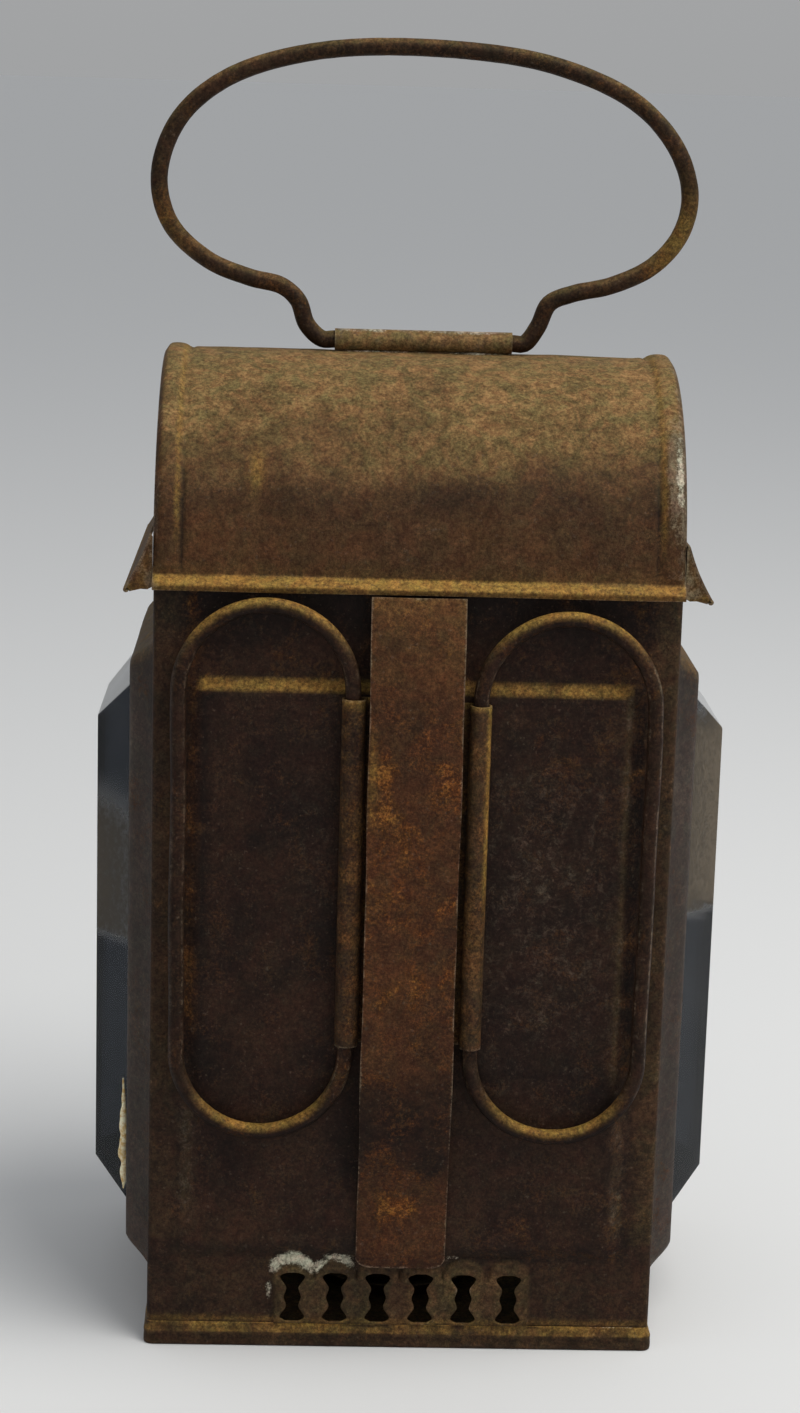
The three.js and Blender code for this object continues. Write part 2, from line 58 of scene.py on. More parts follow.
# Rear wall: its raised plateau and the strip of vents, as the CAD has them.
PLATEAU = (-40.3, 40.0, 21.5, 131.0)  # left, right, low and high
PLATEAU_RISE, PLATEAU_SLOPE = 1.5, 3.0
VENT_CENTRES = (-20.8, -12.5, -4.2, 4.2, 12.6, 21.4)
VENT_ROWS = (5.3, 15.4)
VENT = {"neck": 1.15, "flare": 1.3, "bulge": 0.55, "column": 1.7, "gap": 4.1}
ARCH = {"radius": 4.2, "z": 14.4, "rise": 0.5}

# Openings for the side glasses and the door.
OPENING_HALF = 22.0
OPENING = (24.8, 127.8)
DOORWAY_HALF = 36.0
DOORWAY = (11.5, 138.5)

# Hood.
SPRING_Z = 152.4
HOOD_RADIUS = 38.75
LIP = {"out": 1.9, "low": 150.2, "high": 153.2}
BEAD = {"width": 4.6, "rise": 0.6, "turn": 0.9}
HOOD_STEPS, HOOD_END_STEPS = 150, 170  # points round the arch
HOLE_RADIUS, HOLE_ARC, HOLE_COUNT = 3.2, 23.0, 5
EAVE_SHEET = 0.42

# Glazing: a foot is (half width, low, high) of a frame where it leaves its wall.
SIDE_GLAZING = types.SimpleNamespace(
    foot=(33.2, 13.6, 139.0), splay=4.7, rise=4.75, proud=7.0, flange=0.0, look="side_glass",
    glass_steps=(16, 60),
)
DOOR_GLAZING = types.SimpleNamespace(
    foot=(41.0, 6.5, 143.5), splay=4.0, rise=4.7, proud=6.0, flange=4.0, look="door_glass",
    glass_steps=(8, 16),
)
FRAME_RIM = 5.5
GLASS_STEP = 0.2
GLASS_BEVEL = 8.0
LOWER_BEVEL_DROP = 1.8
GLASS_DARKNESS = {"side": 185.0, "door": 40.0}  # absorption for each metre

# Wires.
BAIL_RADIUS = 1.7
BAIL_BEND = (
    (20.4, 193.3), (22.9, 196.6), (25.0, 201.2), (29.5, 203.2), (37.0, 205.0), (44.6, 208.8),
    (49.8, 215.0), (51.4, 222.5), (48.6, 231.2), (40.0, 239.9), (24.0, 246.4), (0.0, 249.0),
    (-22.0, 247.6), (-38.5, 242.2), (-47.6, 234.0), (-50.8, 224.0), (-48.6, 214.8),
    (-41.5, 208.0), (-33.4, 204.8), (-27.0, 203.3), (-23.8, 200.6), (-22.0, 196.0), (-19.0, 193.3),
)
WIRE_GAP = 0.3  # half of the gap between a bent wire's two ends, inside its sleeve
GRIP = {"radius": 1.5, "y": -41.3, "bend": 16.15}
GRIPS = {
    "left": {"x": -11.8, "side": -1, "low": 61.85, "high": 131.85},
    "right": {"x": 12.0, "side": 1, "low": 61.55, "high": 130.45},
}
GRIP_ROLL = {"mid": 1.85, "sheet": 0.4, "low": 63.4, "high": 130.8}
TUBE_SIDE = (0.31, 0.87, 0.39)  # no wire starts this way, so it can start a wire's first ring

# Strap, as (y, z) of its outer face from its foot upwards.
STRAP_FACE = (
    (-38.95, 17.3), (-39.2, 19.1), (-39.45, 22.0), (-39.5, 28.0), (-41.2, 35.0), (-43.5, 45.0),
    (-44.0, 54.0), (-44.1, 90.0), (-44.0, 126.0), (-43.3, 136.0), (-41.8, 144.0), (-40.1, 149.9),
)
STRAP_SHEET = 0.7
STRAP_CORNER = 3.2

# Door hinge and latch.
HINGE = {"x": 43.7, "y": 40.0, "mid": 1.6}
DOOR_LEAF = (38.85, 38.7, 2.2, 240)  # y, y at the turn, flat length, and where the roll ends
CASE_LEAF = (37.95, 38.15, 1.6, -420)
RIVET_HOLE = 1.05


# Shapes.


def box_mm(node):
    """Lowest and highest corner of a CAD node, in millimetres."""
    lo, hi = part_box(node)
    return np.array(lo) / MM, np.array(hi) / MM


def reach_mm(node):
    """How near and how far out to its side a CAD node reaches."""
    lo, hi = box_mm(node)
    return sorted((abs(lo[0]), abs(hi[0])))


def stacked(*columns):
    """Points whose coordinates are these numbers or arrays."""
    return np.stack(np.broadcast_arrays(*columns), -1)


def unit(vectors, axis=1):
    return vectors / np.linalg.norm(vectors, axis=axis, keepdims=True)


def smooth(value, low=0.0, high=1.0):
    """Soft step from 0 at low to 1 at high, which may be the smaller number."""
    t = np.clip((np.asarray(value, float) - low) / (high - low), 0, 1)
    return t * t * (3 - 2 * t)


def hump(value, centre, width):
    """Bell curve of height 1."""
    return np.exp(-(((np.asarray(value, float) - centre) / width) ** 2))


def spot(x, z, centre, size):
    """A soft oval spot of height 1."""
    return hump(x, centre[0], size[0]) * hump(z, centre[1], size[1])


def waves(points, size, seed, count=22):
    """Smooth random field of about +-1 whose bumps are about size across."""
    rng = np.random.default_rng(seed)
    ways = unit(rng.normal(size=(count, 3)))
    ways *= (2 * np.pi / size * rng.uniform(0.55, 1.45, count))[:, None]
    phases = rng.uniform(0, 2 * np.pi, count)
    return np.sin(points @ ways.T + phases).sum(-1) / math.sqrt(2 * count)


def dents(points, depth, size, seed):
    """Depths from 0 to about depth, always inwards."""
    return depth * np.abs(waves(points, size, seed))


def lines(low, high, step, marks=()):
    """Grid positions from low to high, about step apart, that include the marks."""
    stops = sorted({low, high, *[m for m in marks if low < m < high]})
    found = []
    for a, b in zip(stops, stops[1:]):
        cells = max(1, round((b - a) / step))
        found.extend(np.linspace(a, b, cells, endpoint=False))
    return np.array([*found, high])


def cells_outside(u, v, half, low, high, centres=(0.0,)):
    """Which cells of a grid lie outside the openings, half wide each way from their centres."""
    u, v = ((grid[:-1, :-1] + grid[1:, 1:]) / 2 for grid in (u, v))
    nearest = np.min([np.abs(u - centre) for centre in centres], axis=0)
    return ~((nearest < half) & (v > low) & (v < high))


def shell(points, thickness, keep=None):
    """A closed sheet. points is its outer face, (rows, columns, 3), facing rows x columns."""
    rows, columns, _ = points.shape
    normals = unit(np.cross(np.gradient(points, axis=0), np.gradient(points, axis=1)), 2)
    inner = points - normals * thickness
    vertices = np.concatenate([points.reshape(-1, 3), inner.reshape(-1, 3)])
    back = rows * columns
    if keep is None:
        keep = np.ones((rows - 1, columns - 1), bool)
    kept = np.pad(keep, 1)
    faces = []
    for i, j in np.argwhere(keep):
        a = int(i * columns + j)
        b = a + columns
        c, d = b + 1, a + 1
        faces.append((a, b, c, d))
        faces.append((d + back, c + back, b + back, a + back))
        beside = ((a, b, i, j - 1), (b, c, i + 1, j), (c, d, i, j + 1), (d, a, i - 1, j))
        for p, q, ni, nj in beside:
            if not kept[ni + 1, nj + 1]:
                faces.append((q, p, p + back, q + back))
    return vertices, faces


def loft(rings, closed=False):
    """Joins rings of equal length. An open loft gets a cap at each end."""
    rings = np.asarray(rings)
    count, size, _ = rings.shape
    faces = []
    for k in range(count if closed else count - 1):
        here = k * size
        there = ((k + 1) % count) * size
        for i in range(size):
            n = (i + 1) % size
            faces.append((here + i, here + n, there + n, there + i))
    if not closed:
        faces.append(tuple(range(size))[::-1])
        faces.append(tuple((count - 1) * size + i for i in range(size)))
    return rings.reshape(-1, 3), faces


def ring(sides, corner, height, across, upwards):
    """A rounded rectangle, counter-clockwise, with the same count of points at any size."""
    left, right, low, high = sides + corner * np.array((1, -1, 1, -1))
    middles = ((right, high), (left, high), (left, low), (right, low))
    arcs = [arc(middle, corner, 90 * k, 90 * k + 90, 22.5) for k, middle in enumerate(middles)]
    points = []
    for k, steps in enumerate((across, upwards, across, upwards)):
        start, end = arcs[k][-1], arcs[(k + 1) % 4][0]
        points += [arcs[k], start + (end - start) * np.arange(1, steps)[:, None] / steps]
    return stacked(*np.concatenate(points).T, height)


def frame_rings(foot, profile, across=24, upwards=48):
    """Rings for a loft. Rows of profile are (inset, rise, corner), with an optional drop."""
    half, low, high = foot
    rings = []
    for inset, rise, corner, *drop in profile:
        sides = (-half + inset, half - inset, low + inset - sum(drop), high - inset)
        rings.append(ring(sides, corner, rise, across, upwards))
    return np.array(rings)


def facing(points, side, origin):
    """Turns (u, v, w) points so that w looks out to the right, left or front, from origin."""
    u, v, w = np.moveaxis(points, -1, 0)
    turned = {"right": (w, u, v), "left": (-w, -u, v), "front": (-u, w, v)}[side]
    return stacked(*turned) + origin


def lathe(profile, sides, centre=(0, 0), axis="z"):
    """Turns (radius, height) rows into a solid. The profile starts and ends on the axis."""
    angles = np.arange(sides) * 2 * np.pi / sides
    rings = []
    for radius, height in profile:
        r = max(radius, 1e-3)
        rings.append(stacked(r * np.cos(angles), r * np.sin(angles), height))
    vertices, faces = loft(rings)
    if axis == "y":
        vertices = vertices[:, [0, 2, 1]] * (-1, 1, 1)
        return vertices + (centre[0], 0, centre[1]), faces
    return vertices + (centre[0], centre[1], 0), faces


def curve_through(points, step):
    """Centripetal Catmull-Rom curve through the points, sampled about step apart."""
    p = np.asarray(points, float)
    p = np.concatenate([[2 * p[0] - p[1]], p, [2 * p[-1] - p[-2]]])
    found = []
    for a, b, c, d in zip(p, p[1:], p[2:], p[3:]):
        gaps = np.linalg.norm((b - a, c - b, d - c), axis=1)
        t1, t2, t3 = np.cumsum(gaps**0.5)
        steps = max(1, round(gaps[1] / step))
        t = np.linspace(t1, t2, steps, endpoint=False)[:, None]
        ab = a + (b - a) * t / t1
        bc = b + (c - b) * (t - t1) / (t2 - t1)
        cd = c + (d - c) * (t - t2) / (t3 - t2)
        abc = ab + (bc - ab) * t / t2
        bcd = bc + (cd - bc) * (t - t1) / (t3 - t1)
        found.append(abc + (bcd - abc) * (t - t1) / (t2 - t1))
    return np.concatenate([*found, p[-2:-1]])


def tube(path, radii, sides=18):
    """Round wire along a path, with rounded ends and a radius for each point."""
    tangents = unit(np.gradient(path, axis=0))
    side = np.cross(tangents[0], TUBE_SIDE)
    angles = np.arange(sides) * 2 * np.pi / sides
    rings = []
    for point, tangent, r in zip(path, tangents, radii):
        side = side - tangent * (side @ tangent)
        side /= np.linalg.norm(side)
        other = np.cross(tangent, side)
        rings.append(point + r * (np.cos(angles)[:, None] * side + np.sin(angles)[:, None] * other))
    first = path[0] + (rings[0] - path[0]) * 0.7 - tangents[0] * radii[0] * 0.25
    last = path[-1] + (rings[-1] - path[-1]) * 0.7 + tangents[-1] * radii[-1] * 0.25
    return loft([first, *rings, last])


def rolled(midline, thickness, low, high, axis, step):
    """Sheet of constant thickness along a line of (a, b), drawn out along the axis."""
    line = np.asarray(midline, float)
    low, high = (np.broadcast_to(end, (len(line),)) for end in (low, high))
    along = unit(np.gradient(line, axis=0))
    a, b = (line + stacked(along[:, 1], -along[:, 0]) * thickness / 2).T
    rows = max(2, round((high[0] - low[0]) / step))
    run = low + np.linspace(0, 1, rows + 1)[:, None] * (high - low)
    grid = stacked(a, b, run) if axis == "z" else stacked(run, a, b)
    return shell(grid.transpose(1, 0, 2), thickness)


def arc(centre, radius, start, end, step=10.0):
    """Points of a circle's arc between two angles in degrees."""
    count = max(3, round(abs(end - start) / step))
    angles = np.radians(np.linspace(start, end, count + 1))
    return stacked(centre[0] + radius * np.cos(angles), centre[1] + radius * np.sin(angles))


def plate(outline, low, high, axis):
    """A flat plate with that outline, between two heights along the axis."""
    a, b = np.asarray(outline, float).T
    ends = (low, high)
    return loft([stacked(c, a, b) if axis == "x" else stacked(a, c, b) for c in ends])


def merged(*parts):
    """Several closed shapes as one set of vertices and faces."""
    vertices, faces, start = [], [], 0
    for points, quads in parts:
        vertices.append(points)
        faces.extend(tuple(i + start for i in q) for q in quads)
        start += len(points)
    return np.concatenate(vertices), faces


def on_side(shape, side):
    """The shape, or its reflection on the left where side is -1."""
    vertices, faces = shape
    return shape if side > 0 else (vertices * (-1, 1, 1), [q[::-1] for q in faces])


# Objects.

LOOKS = {}  # the materials by short name, made once the frame is loaded
# Paint layers for real weathering that also carry painted light: painted shade with the soot, painted
# top light and reflections with the dust, and painted highlights with the ochre, chalk, bloom and
# wear.
LAYERS = ("dust_and_light", "wear_and_glint", "soot_and_shade", "rust", "ochre", "chalk", "bloom_and_highlight")


class Skin:
    """A mesh's points in millimetres, its normals, and how dusty, worn and so on each point is, with
    the painted light and shade that these layers also carry.
    """

    def __init__(self, mesh):
        self.points = mesh_array(mesh.vertices, "co", 3) / MM
        normals = mesh_array(mesh.vertices, "normal", 3)
        self.x, self.y, self.z = self.points.T
        self.nx, self.ny, self.nz = normals.T
        bend = hollowness(mesh, self.points, normals)
        # Upward faces get dust and painted top light, creases get soot and painted shade, ridges get
        # wear.
        self.dust_and_light = np.clip(self.nz, 0, 1)
        self.wear_and_glint = np.clip(-2.2 * bend, 0, 1)
        self.soot_and_shade = np.clip(3.0 * bend, 0, 1)
        self.rust, self.ochre, self.chalk, self.bloom_and_highlight = np.zeros((4, len(bend)))

    def waves(self, size, seed):
        return waves(self.points, size, seed)

    def patches(self, size, seed, low, high):
        """Soft random patches: 0 where the waves are below low, 1 above high."""
        return smooth(self.waves(size, seed), low, high)


def mesh_array(items, key, width, kind=float):
    found = np.empty(len(items) * width, kind)
    items.foreach_get(key, found)
    return found.reshape(-1, width)


def hollowness(mesh, points, normals):
    """For each vertex, above 0 in a crease and below 0 on a ridge."""
    a, b = mesh_array(mesh.edges, "vertices", 2, int).T
    ways = points[b] - points[a]
    ways /= np.maximum(np.linalg.norm(ways, axis=1, keepdims=True), 1e-6)
    total, count = np.zeros((2, len(points)))
    np.add.at(total, a, (ways * normals[a]).sum(1))
    np.add.at(total, b, -(ways * normals[b]).sum(1))
    np.add.at(count, a, 1)
    np.add.at(count, b, 1)
    return total / np.maximum(count, 1)


def add_object(name, data):
    obj = bpy.data.objects.new(name, data)
    bpy.context.scene.collection.objects.link(obj)
    return obj


def new_object(name, shape):
    """A mesh object of a shape in millimetres, with loose points removed and faces turned out."""
    vertices, faces = shape
    mesh = bpy.data.meshes.new(name)
    mesh.from_pydata((vertices * MM).tolist(), [], faces)
    work = bmesh.new()
    work.from_mesh(mesh)
    loose = [v for v in work.verts if not v.link_faces]
    bmesh.ops.delete(work, geom=loose, context="VERTS")
    bmesh.ops.recalc_face_normals(work, faces=work.faces)
    work.to_mesh(mesh)
    work.free()
    return add_object(name, mesh)


def modify(obj, kind, **settings):
    """Applies one modifier to the object."""
    modifier = obj.modifiers.new(kind, kind)
    for key, value in settings.items():
        setattr(modifier, key, value)
    bpy.context.view_layer.update()
    graph = bpy.context.evaluated_depsgraph_get()
    made = bpy.data.meshes.new_from_object(obj.evaluated_get(graph))
    obj.modifiers.clear()
    old, obj.data = obj.data, made
    bpy.data.meshes.remove(old)


def piece(
    name, shape, look, node="", body="case", paint=None, crease=35.0, cut=None,
    rounding=0.0,
):
    """Makes a piece: cuts, rounds, shades, weathers and paints it, and puts it on its body."""
    obj = new_object(name, shape)
    if cut:
        cutter = new_object(name + "_cutter", cut)
        modify(obj, "BOOLEAN", object=cutter, solver="EXACT")
        bpy.data.objects.remove(cutter)
    if rounding:
        sharp = {"limit_method": "ANGLE", "angle_limit": math.radians(35.0)}
        modify(obj, "BEVEL", width=rounding * MM, segments=2, **sharp)
    mesh = obj.data
    mesh.shade_smooth()
    mesh.set_sharp_from_angle(angle=math.radians(crease))
    skin = Skin(mesh)
    if paint:
        paint(skin)
    for layer in LAYERS:
        values = np.clip(getattr(skin, layer), 0, 1).astype(np.float32)
        mesh.attributes.new(layer, "FLOAT", "POINT").data.foreach_set("value", values)
    mesh.materials.clear()
    mesh.materials.append(LOOKS[look])
    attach(obj, body)
    if node:
        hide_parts(node)


# Materials.


class Nodes:
    """Short names for the nodes of a shader tree."""

    def __init__(self, tree):
        self.tree = tree

    def put(self, node, socket, value):
        """Links a socket to the node's own, or sets its constant."""
        if isinstance(value, bpy.types.NodeSocket):
            self.tree.links.new(value, node.inputs[socket])
        else:
            node.inputs[socket].default_value = value

    def add(self, kind, inputs=(), output=0, **settings):
        made = self.tree.nodes.new("ShaderNode" + kind)
        for key, value in settings.items():
            setattr(made, key, value)
        for socket, value in dict(inputs).items():
            self.put(made, socket, value)
        return made.outputs[output]

    def maths(self, operation, a, b, clamp=False):
        return self.add("Math", {0: a, 1: b}, operation=operation, use_clamp=clamp)

    times = functools.partialmethod(maths, "MULTIPLY")
    plus = functools.partialmethod(maths, "ADD")
    most = functools.partialmethod(maths, "MAXIMUM")

    def mix(self, factor, a, b, blend="MIX"):
        a, b = (c if isinstance(c, bpy.types.NodeSocket) else (*c, 1.0) for c in (a, b))
        return self.add("Mix", {0: factor, 6: a, 7: b}, 2, data_type="RGBA", blend_type=blend)

    def ramp(self, value, low, high, to_low=0.0, to_high=1.0):
        inputs = {0: value, 1: low, 2: high, 3: to_low, 4: to_high}
        return self.add("MapRange", inputs, interpolation_type="SMOOTHSTEP")


class Look(Nodes):
    """A new material, with patterns sized in millimetres."""

    def __init__(self, name, shift=(0, 0, 0), stretch=(1, 1, 1)):
        self.material = bpy.data.materials.new(name)
        self.material.use_nodes = True
        super().__init__(self.material.node_tree)
        place = self.add("TexCoord", output="Object")
        scale = tuple(s / MM for s in stretch)
        inputs = {"Vector": place, "Scale": scale, "Location": shift}
        self.place = self.add("Mapping", inputs)

    def noise(self, size, detail, roughness, twist=0.0):
        inputs = {"Vector": self.place, "Scale": 1 / size, "Detail": detail}
        inputs.update({"Roughness": roughness, "Distortion": twist})
        return self.add("TexNoise", inputs, normalize=True)

    def layer(self, name):
        return self.add("Attribute", output="Fac", attribute_name=name)

    def finish(self, inputs, height, strength, depth):
        """Sets the shader's inputs and the bumps' height, and returns the material."""
        bumps = {"Height": height, "Strength": strength, "Distance": depth * MM}
        inputs = {**inputs, "Normal": self.add("Bump", bumps)}
        for socket, value in inputs.items():
            self.put(self.tree.nodes["Principled BSDF"], socket, value)
        return self.material


TONES = {
    "dark": (0.0165, 0.0078, 0.0054),
    "warm": (0.0320, 0.0145, 0.0084),
    "mid": (0.0230, 0.0132, 0.0092),
    # The soot tone also serves as painted shade.
    "soot_and_shade": (0.0075, 0.0044, 0.0036),
    "rust": (0.0560, 0.0250, 0.0110),
    "orange": (0.1000, 0.0430, 0.0140),
    # The dust and olive tones also serve as painted top light.
    "dust_and_light": (0.1600, 0.1020, 0.0440),
    "olive": (0.1150, 0.0800, 0.0330),
    # The ochre, bare and chalk tones also serve as painted highlights.
    "ochre": (0.2700, 0.1550, 0.0370),
    "bare": (0.2200, 0.1700, 0.1200),
    "chalk": (0.4200, 0.3800, 0.3000),
    # The fleck tone also colours pale bloom and painted highlights.
    "fleck": (0.0900, 0.0640, 0.0460),
}
AMOUNTS = {
    "soot_and_shade": 0.85, "rust": 0.04, "dust_and_light": 0.6, "wear_and_glint": 0.5, "flecks": 0.4, "gloss": 0.55,
    "shine": 0.10, "relief": 0.6,
}
# The finishes of the iron: a name, and what differs from the tones and amounts above.
IRON = {
    "case": ("japanned_iron", {}, {}),
    # The hood's lighter dust tones and larger dust amount also carry its painted top light.
    "hood": (
        "dusty_top_lit_hood_iron",
        {
            "dark": (0.036, 0.0165, 0.0074), "warm": (0.066, 0.0290, 0.0112),
            "mid": (0.054, 0.0285, 0.0112), "dust_and_light": (0.215, 0.1350, 0.0570),
            "olive": (0.150, 0.1010, 0.0420), "rust": (0.060, 0.0290, 0.0150),
            "orange": (0.100, 0.046, 0.018),
        },
        {"dust_and_light": 1.1, "rust": 0.08},
    ),
    "strap": (
        "rusted_strap_iron",
        {
            "dark": (0.038, 0.0170, 0.0080), "warm": (0.076, 0.0300, 0.0118),
            "mid": (0.058, 0.0250, 0.0112), "rust": (0.105, 0.0400, 0.0135),
            "orange": (0.215, 0.0860, 0.0200),
        },
        {"rust": 0.08, "relief": 0.8},
    ),
    "wire": (
        "handled_iron_wire",
        {
            "dark": (0.013, 0.0068, 0.0046), "warm": (0.026, 0.0128, 0.0080),
            "mid": (0.020, 0.0108, 0.0070),
        },
        {"gloss": 0.5, "shine": 0.08},
    ),
    "frame": (
        "grey_window_iron",
        {
            "dark": (0.030, 0.0205, 0.0160), "warm": (0.044, 0.0310, 0.0240),
            "mid": (0.037, 0.0260, 0.0200),
        },
        {"shine": 0.25},
    ),
}


def aged_iron(name, tones, amounts, seed):
    """Japanned iron under soot, rust, dust, ochre powder, chalk, pale bloom and bare worn edges,
    whose layers also carry painted shade, painted top light and painted highlights.
    """
    tones, amounts = {**TONES, **tones}, {**AMOUNTS, **amounts}
    look = Look(name, (seed * 17.0, seed * 5.0, seed * 11.0))
    mix, ramp, layer, times, plus = look.mix, look.ramp, look.layer, look.times, look.plus
    blotch = look.noise(19.0, 5.0, 0.62, 0.4)
    patch = look.noise(7.0, 8.0, 0.68, 0.6)
    grain = look.noise(0.6, 5.0, 0.8)
    cloud = look.noise(4.5, 5.0, 0.7, 0.8)
    speck = look.noise(1.7, 6.0, 0.8, 0.3)
    fleck = look.noise(0.8, 2.0, 0.5)
    frost = look.noise(2.2, 7.0, 0.85, 0.6)

    colour = mix(ramp(blotch, 0.34, 0.66), tones["dark"], tones["warm"])
    colour = mix(ramp(patch, 0.46, 0.7, 0.0, 0.7), colour, tones["mid"])
    # Soot, and painted shade in creases and underneath.
    colour = mix(times(layer("soot_and_shade"), amounts["soot_and_shade"]), colour, tones["soot_and_shade"])

    rough_edge = plus(ramp(patch, 0.2, 0.8, -0.45, 0.45), ramp(grain, 0.2, 0.8, -0.3, 0.3))
    rusty = plus(times(layer("rust"), 0.6), plus(rough_edge, amounts["rust"]))
    rust_mask = ramp(rusty, 0.1, 0.8)
    rust_tone = mix(ramp(rusty, 0.45, 0.85), tones["rust"], tones["orange"])
    colour = mix(rust_mask, colour, rust_tone)

    # Dust, and painted top light.
    dusty_and_lit = times(layer("dust_and_light"), ramp(blotch, 0.25, 0.75, 0.75, 1.25))
    dusty_and_lit = times(dusty_and_lit, ramp(patch, 0.3, 0.7, 0.68, 1.3))
    dusty_and_lit = times(dusty_and_lit, ramp(grain, 0.3, 0.7, 0.82, 1.15))
    dust_and_light_mask = times(dusty_and_lit, amounts["dust_and_light"], clamp=True)
    dust_and_light_tone = mix(ramp(cloud, 0.36, 0.64), tones["dust_and_light"], tones["olive"])
    colour = mix(dust_and_light_mask, colour, dust_and_light_tone)

    # Ochre, and gold painted highlights.
    ochre = times(layer("ochre"), ramp(grain, 0.25, 0.75, 0.55, 1.3))
    ochre = times(ochre, ramp(patch, 0.3, 0.7, 0.75, 1.25), clamp=True)
    colour = mix(ochre, colour, tones["ochre"])

    # Worn bare edges, and painted glints.
    worn_and_glint = times(ramp(plus(layer("wear_and_glint"), rough_edge), 0.5, 1.0), amounts["wear_and_glint"])
    colour = mix(worn_and_glint, colour, tones["bare"])

    # Chalk, and painted highlights.
    chalky = ramp(plus(layer("chalk"), rough_edge), 0.38, 0.85)
    chalky = times(chalky, ramp(layer("chalk"), 0.0, 0.25))
    colour = mix(chalky, colour, tones["chalk"])

    # Pale bloom, and painted highlights.
    bloom_and_highlight = times(layer("bloom_and_highlight"), ramp(frost, 0.48, 0.66, 0.05, 1.0))
    bloom_and_highlight = times(bloom_and_highlight, ramp(patch, 0.36, 0.62, 0.35, 1.15), clamp=True)
    pits_and_highlight = look.most(ramp(fleck, 0.64, 0.74, 0.0, amounts["flecks"]), bloom_and_highlight)
    colour = mix(pits_and_highlight, colour, tones["fleck"])

    shade = ramp(grain, 0.32, 0.68, 0.58, 1.40)
    shades = (
        mix(ramp(speck, 0.36, 0.64), (0.70, 0.66, 0.66), (1.24, 1.30, 1.28)),
        mix(ramp(cloud, 0.34, 0.66), (1.10, 0.97, 0.97), (0.94, 1.03, 1.00)),
        look.add("CombineColor", {0: shade, 1: shade, 2: shade}),
    )
    for tint in shades:
        colour = mix(1.0, colour, tint, "MULTIPLY")

    rough = ramp(look.most(dust_and_light_mask, rust_mask), 0.0, 0.8, amounts["gloss"], 0.86)
    rough = plus(rough, ramp(grain, 0.3, 0.7, -0.07, 0.07), clamp=True)
    relief = plus(times(grain, 0.6), times(patch, 0.9))
    relief = plus(relief, times(rust_mask, 0.25))
    relief = plus(relief, times(chalky, 0.8))
    inputs = {
        "Base Color": colour, "Roughness": rough, "Metallic": times(worn_and_glint, 0.6),
        "Specular IOR Level": amounts["shine"],
    }
    return look.finish(inputs, relief, amounts["relief"], 0.25)


def old_glass(name, darkness):
    """Thick plate that is clear through its face and dark along it, under a thin film of dirt and
    painted reflection bands.
    """
    look = Look(name)
    ramp = look.ramp
    film = look.noise(20.0, 3.0, 0.5, 0.3)
    specks = look.noise(1.3, 4.0, 0.7)
    veil = ramp(specks, 0.3, 0.7, 0.75, 1.1)
    # The dirt below also holds the dust layer's painted reflection bands and the soot layer's brown
    # film near the foot.
    dirt = ramp(film, 0.3, 0.75, 0.0, 0.07)
    for more in (
        ramp(specks, 0.66, 0.8, 0.0, 0.08),
        ramp(look.layer("soot_and_shade"), 0.1, 0.8, 0.0, 0.85),
        look.times(look.layer("dust_and_light"), veil, clamp=True),
    ):
        dirt = look.most(dirt, more)
    murk = {"Color": (0.41, 0.44, 0.48, 1.0), "Density": darkness}
    output = look.tree.nodes["Material Output"]
    look.put(output, "Volume", look.add("VolumeAbsorption", murk))
    clear, brown = (0.93, 0.95, 0.97), (0.165, 0.132, 0.092)
    inputs = {
        "Base Color": look.mix(ramp(dirt, 0.05, 0.45), clear, brown),
        "Transmission Weight": ramp(dirt, 0.0, 1.0, 1.0, 0.3),
        "Roughness": ramp(dirt, 0.0, 0.6, 0.04, 0.5),
        "IOR": 1.5,
        # The dark blue specular tint colours the reflections blue as a painted reflection.
        "Specular Tint": (0.035, 0.06, 0.105, 1.0),
    }
    return look.finish(inputs, look.noise(30.0, 2.0, 0.4), 0.2, 1.0)


def old_wax():
    look = Look("old_wax")
    cloud = look.noise(9.0, 4.0, 0.6)
    dirt = look.noise(2.0, 5.0, 0.7)
    colour = look.mix(look.ramp(cloud, 0.35, 0.65), (0.72, 0.62, 0.42), (0.80, 0.73, 0.56))
    grime = look.plus(look.ramp(dirt, 0.55, 0.75, 0.0, 0.5), look.layer("soot_and_shade"), clamp=True)
    inputs = {
        "Base Color": look.mix(grime, colour, (0.30, 0.21, 0.12)),
        "Roughness": look.ramp(dirt, 0.3, 0.7, 0.42, 0.62),
        "Subsurface Weight": 0.25,
        "Subsurface Radius": (0.004, 0.003, 0.002),
    }
    return look.finish(inputs, dirt, 0.3, 0.15)


def two_tone(look, grain, low, high, tones, roughness, strength, depth):
    """A plain look between two tones, mixed and bumped by the same grain."""
    colour = look.mix(look.ramp(grain, low, high), *tones)
    rough = look.ramp(grain, 0.3, 0.7, *roughness)
    return look.finish({"Base Color": colour, "Roughness": rough}, grain, strength, depth)


def charred_cotton():
    look = Look("charred_cotton", stretch=(1, 1, 0.6))
    strands = look.noise(0.35, 3.0, 0.6, 1.0)
    tones = (0.015, 0.012, 0.010), (0.10, 0.08, 0.06)
    return two_tone(look, strands, 0.4, 0.6, tones, (0.8, 0.98), 0.8, 0.1)


def old_putty():
    look = Look("old_putty")
    grain = look.noise(1.4, 5.0, 0.7)
    tones = (0.62, 0.40, 0.13), (0.95, 0.90, 0.66)
    return two_tone(look, grain, 0.38, 0.62, tones, (0.75, 0.95), 0.7, 0.2)


def make_looks():
    for seed, (key, finish) in enumerate(IRON.items()):
        LOOKS[key] = aged_iron(*finish, seed)
    LOOKS.update({"wax": old_wax(), "cotton": charred_cotton(), "putty": old_putty()})
    for place, darkness in GLASS_DARKNESS.items():
        LOOKS[place + "_glass"] = old_glass(f"old_{place}_glass", darkness)


# Case.


def crisp_step(t):
    """Step from 0 to 1 whose two ends are only a little rounded."""
    return 0.8 * np.clip(t, 0, 1) + 0.2 * smooth(t)


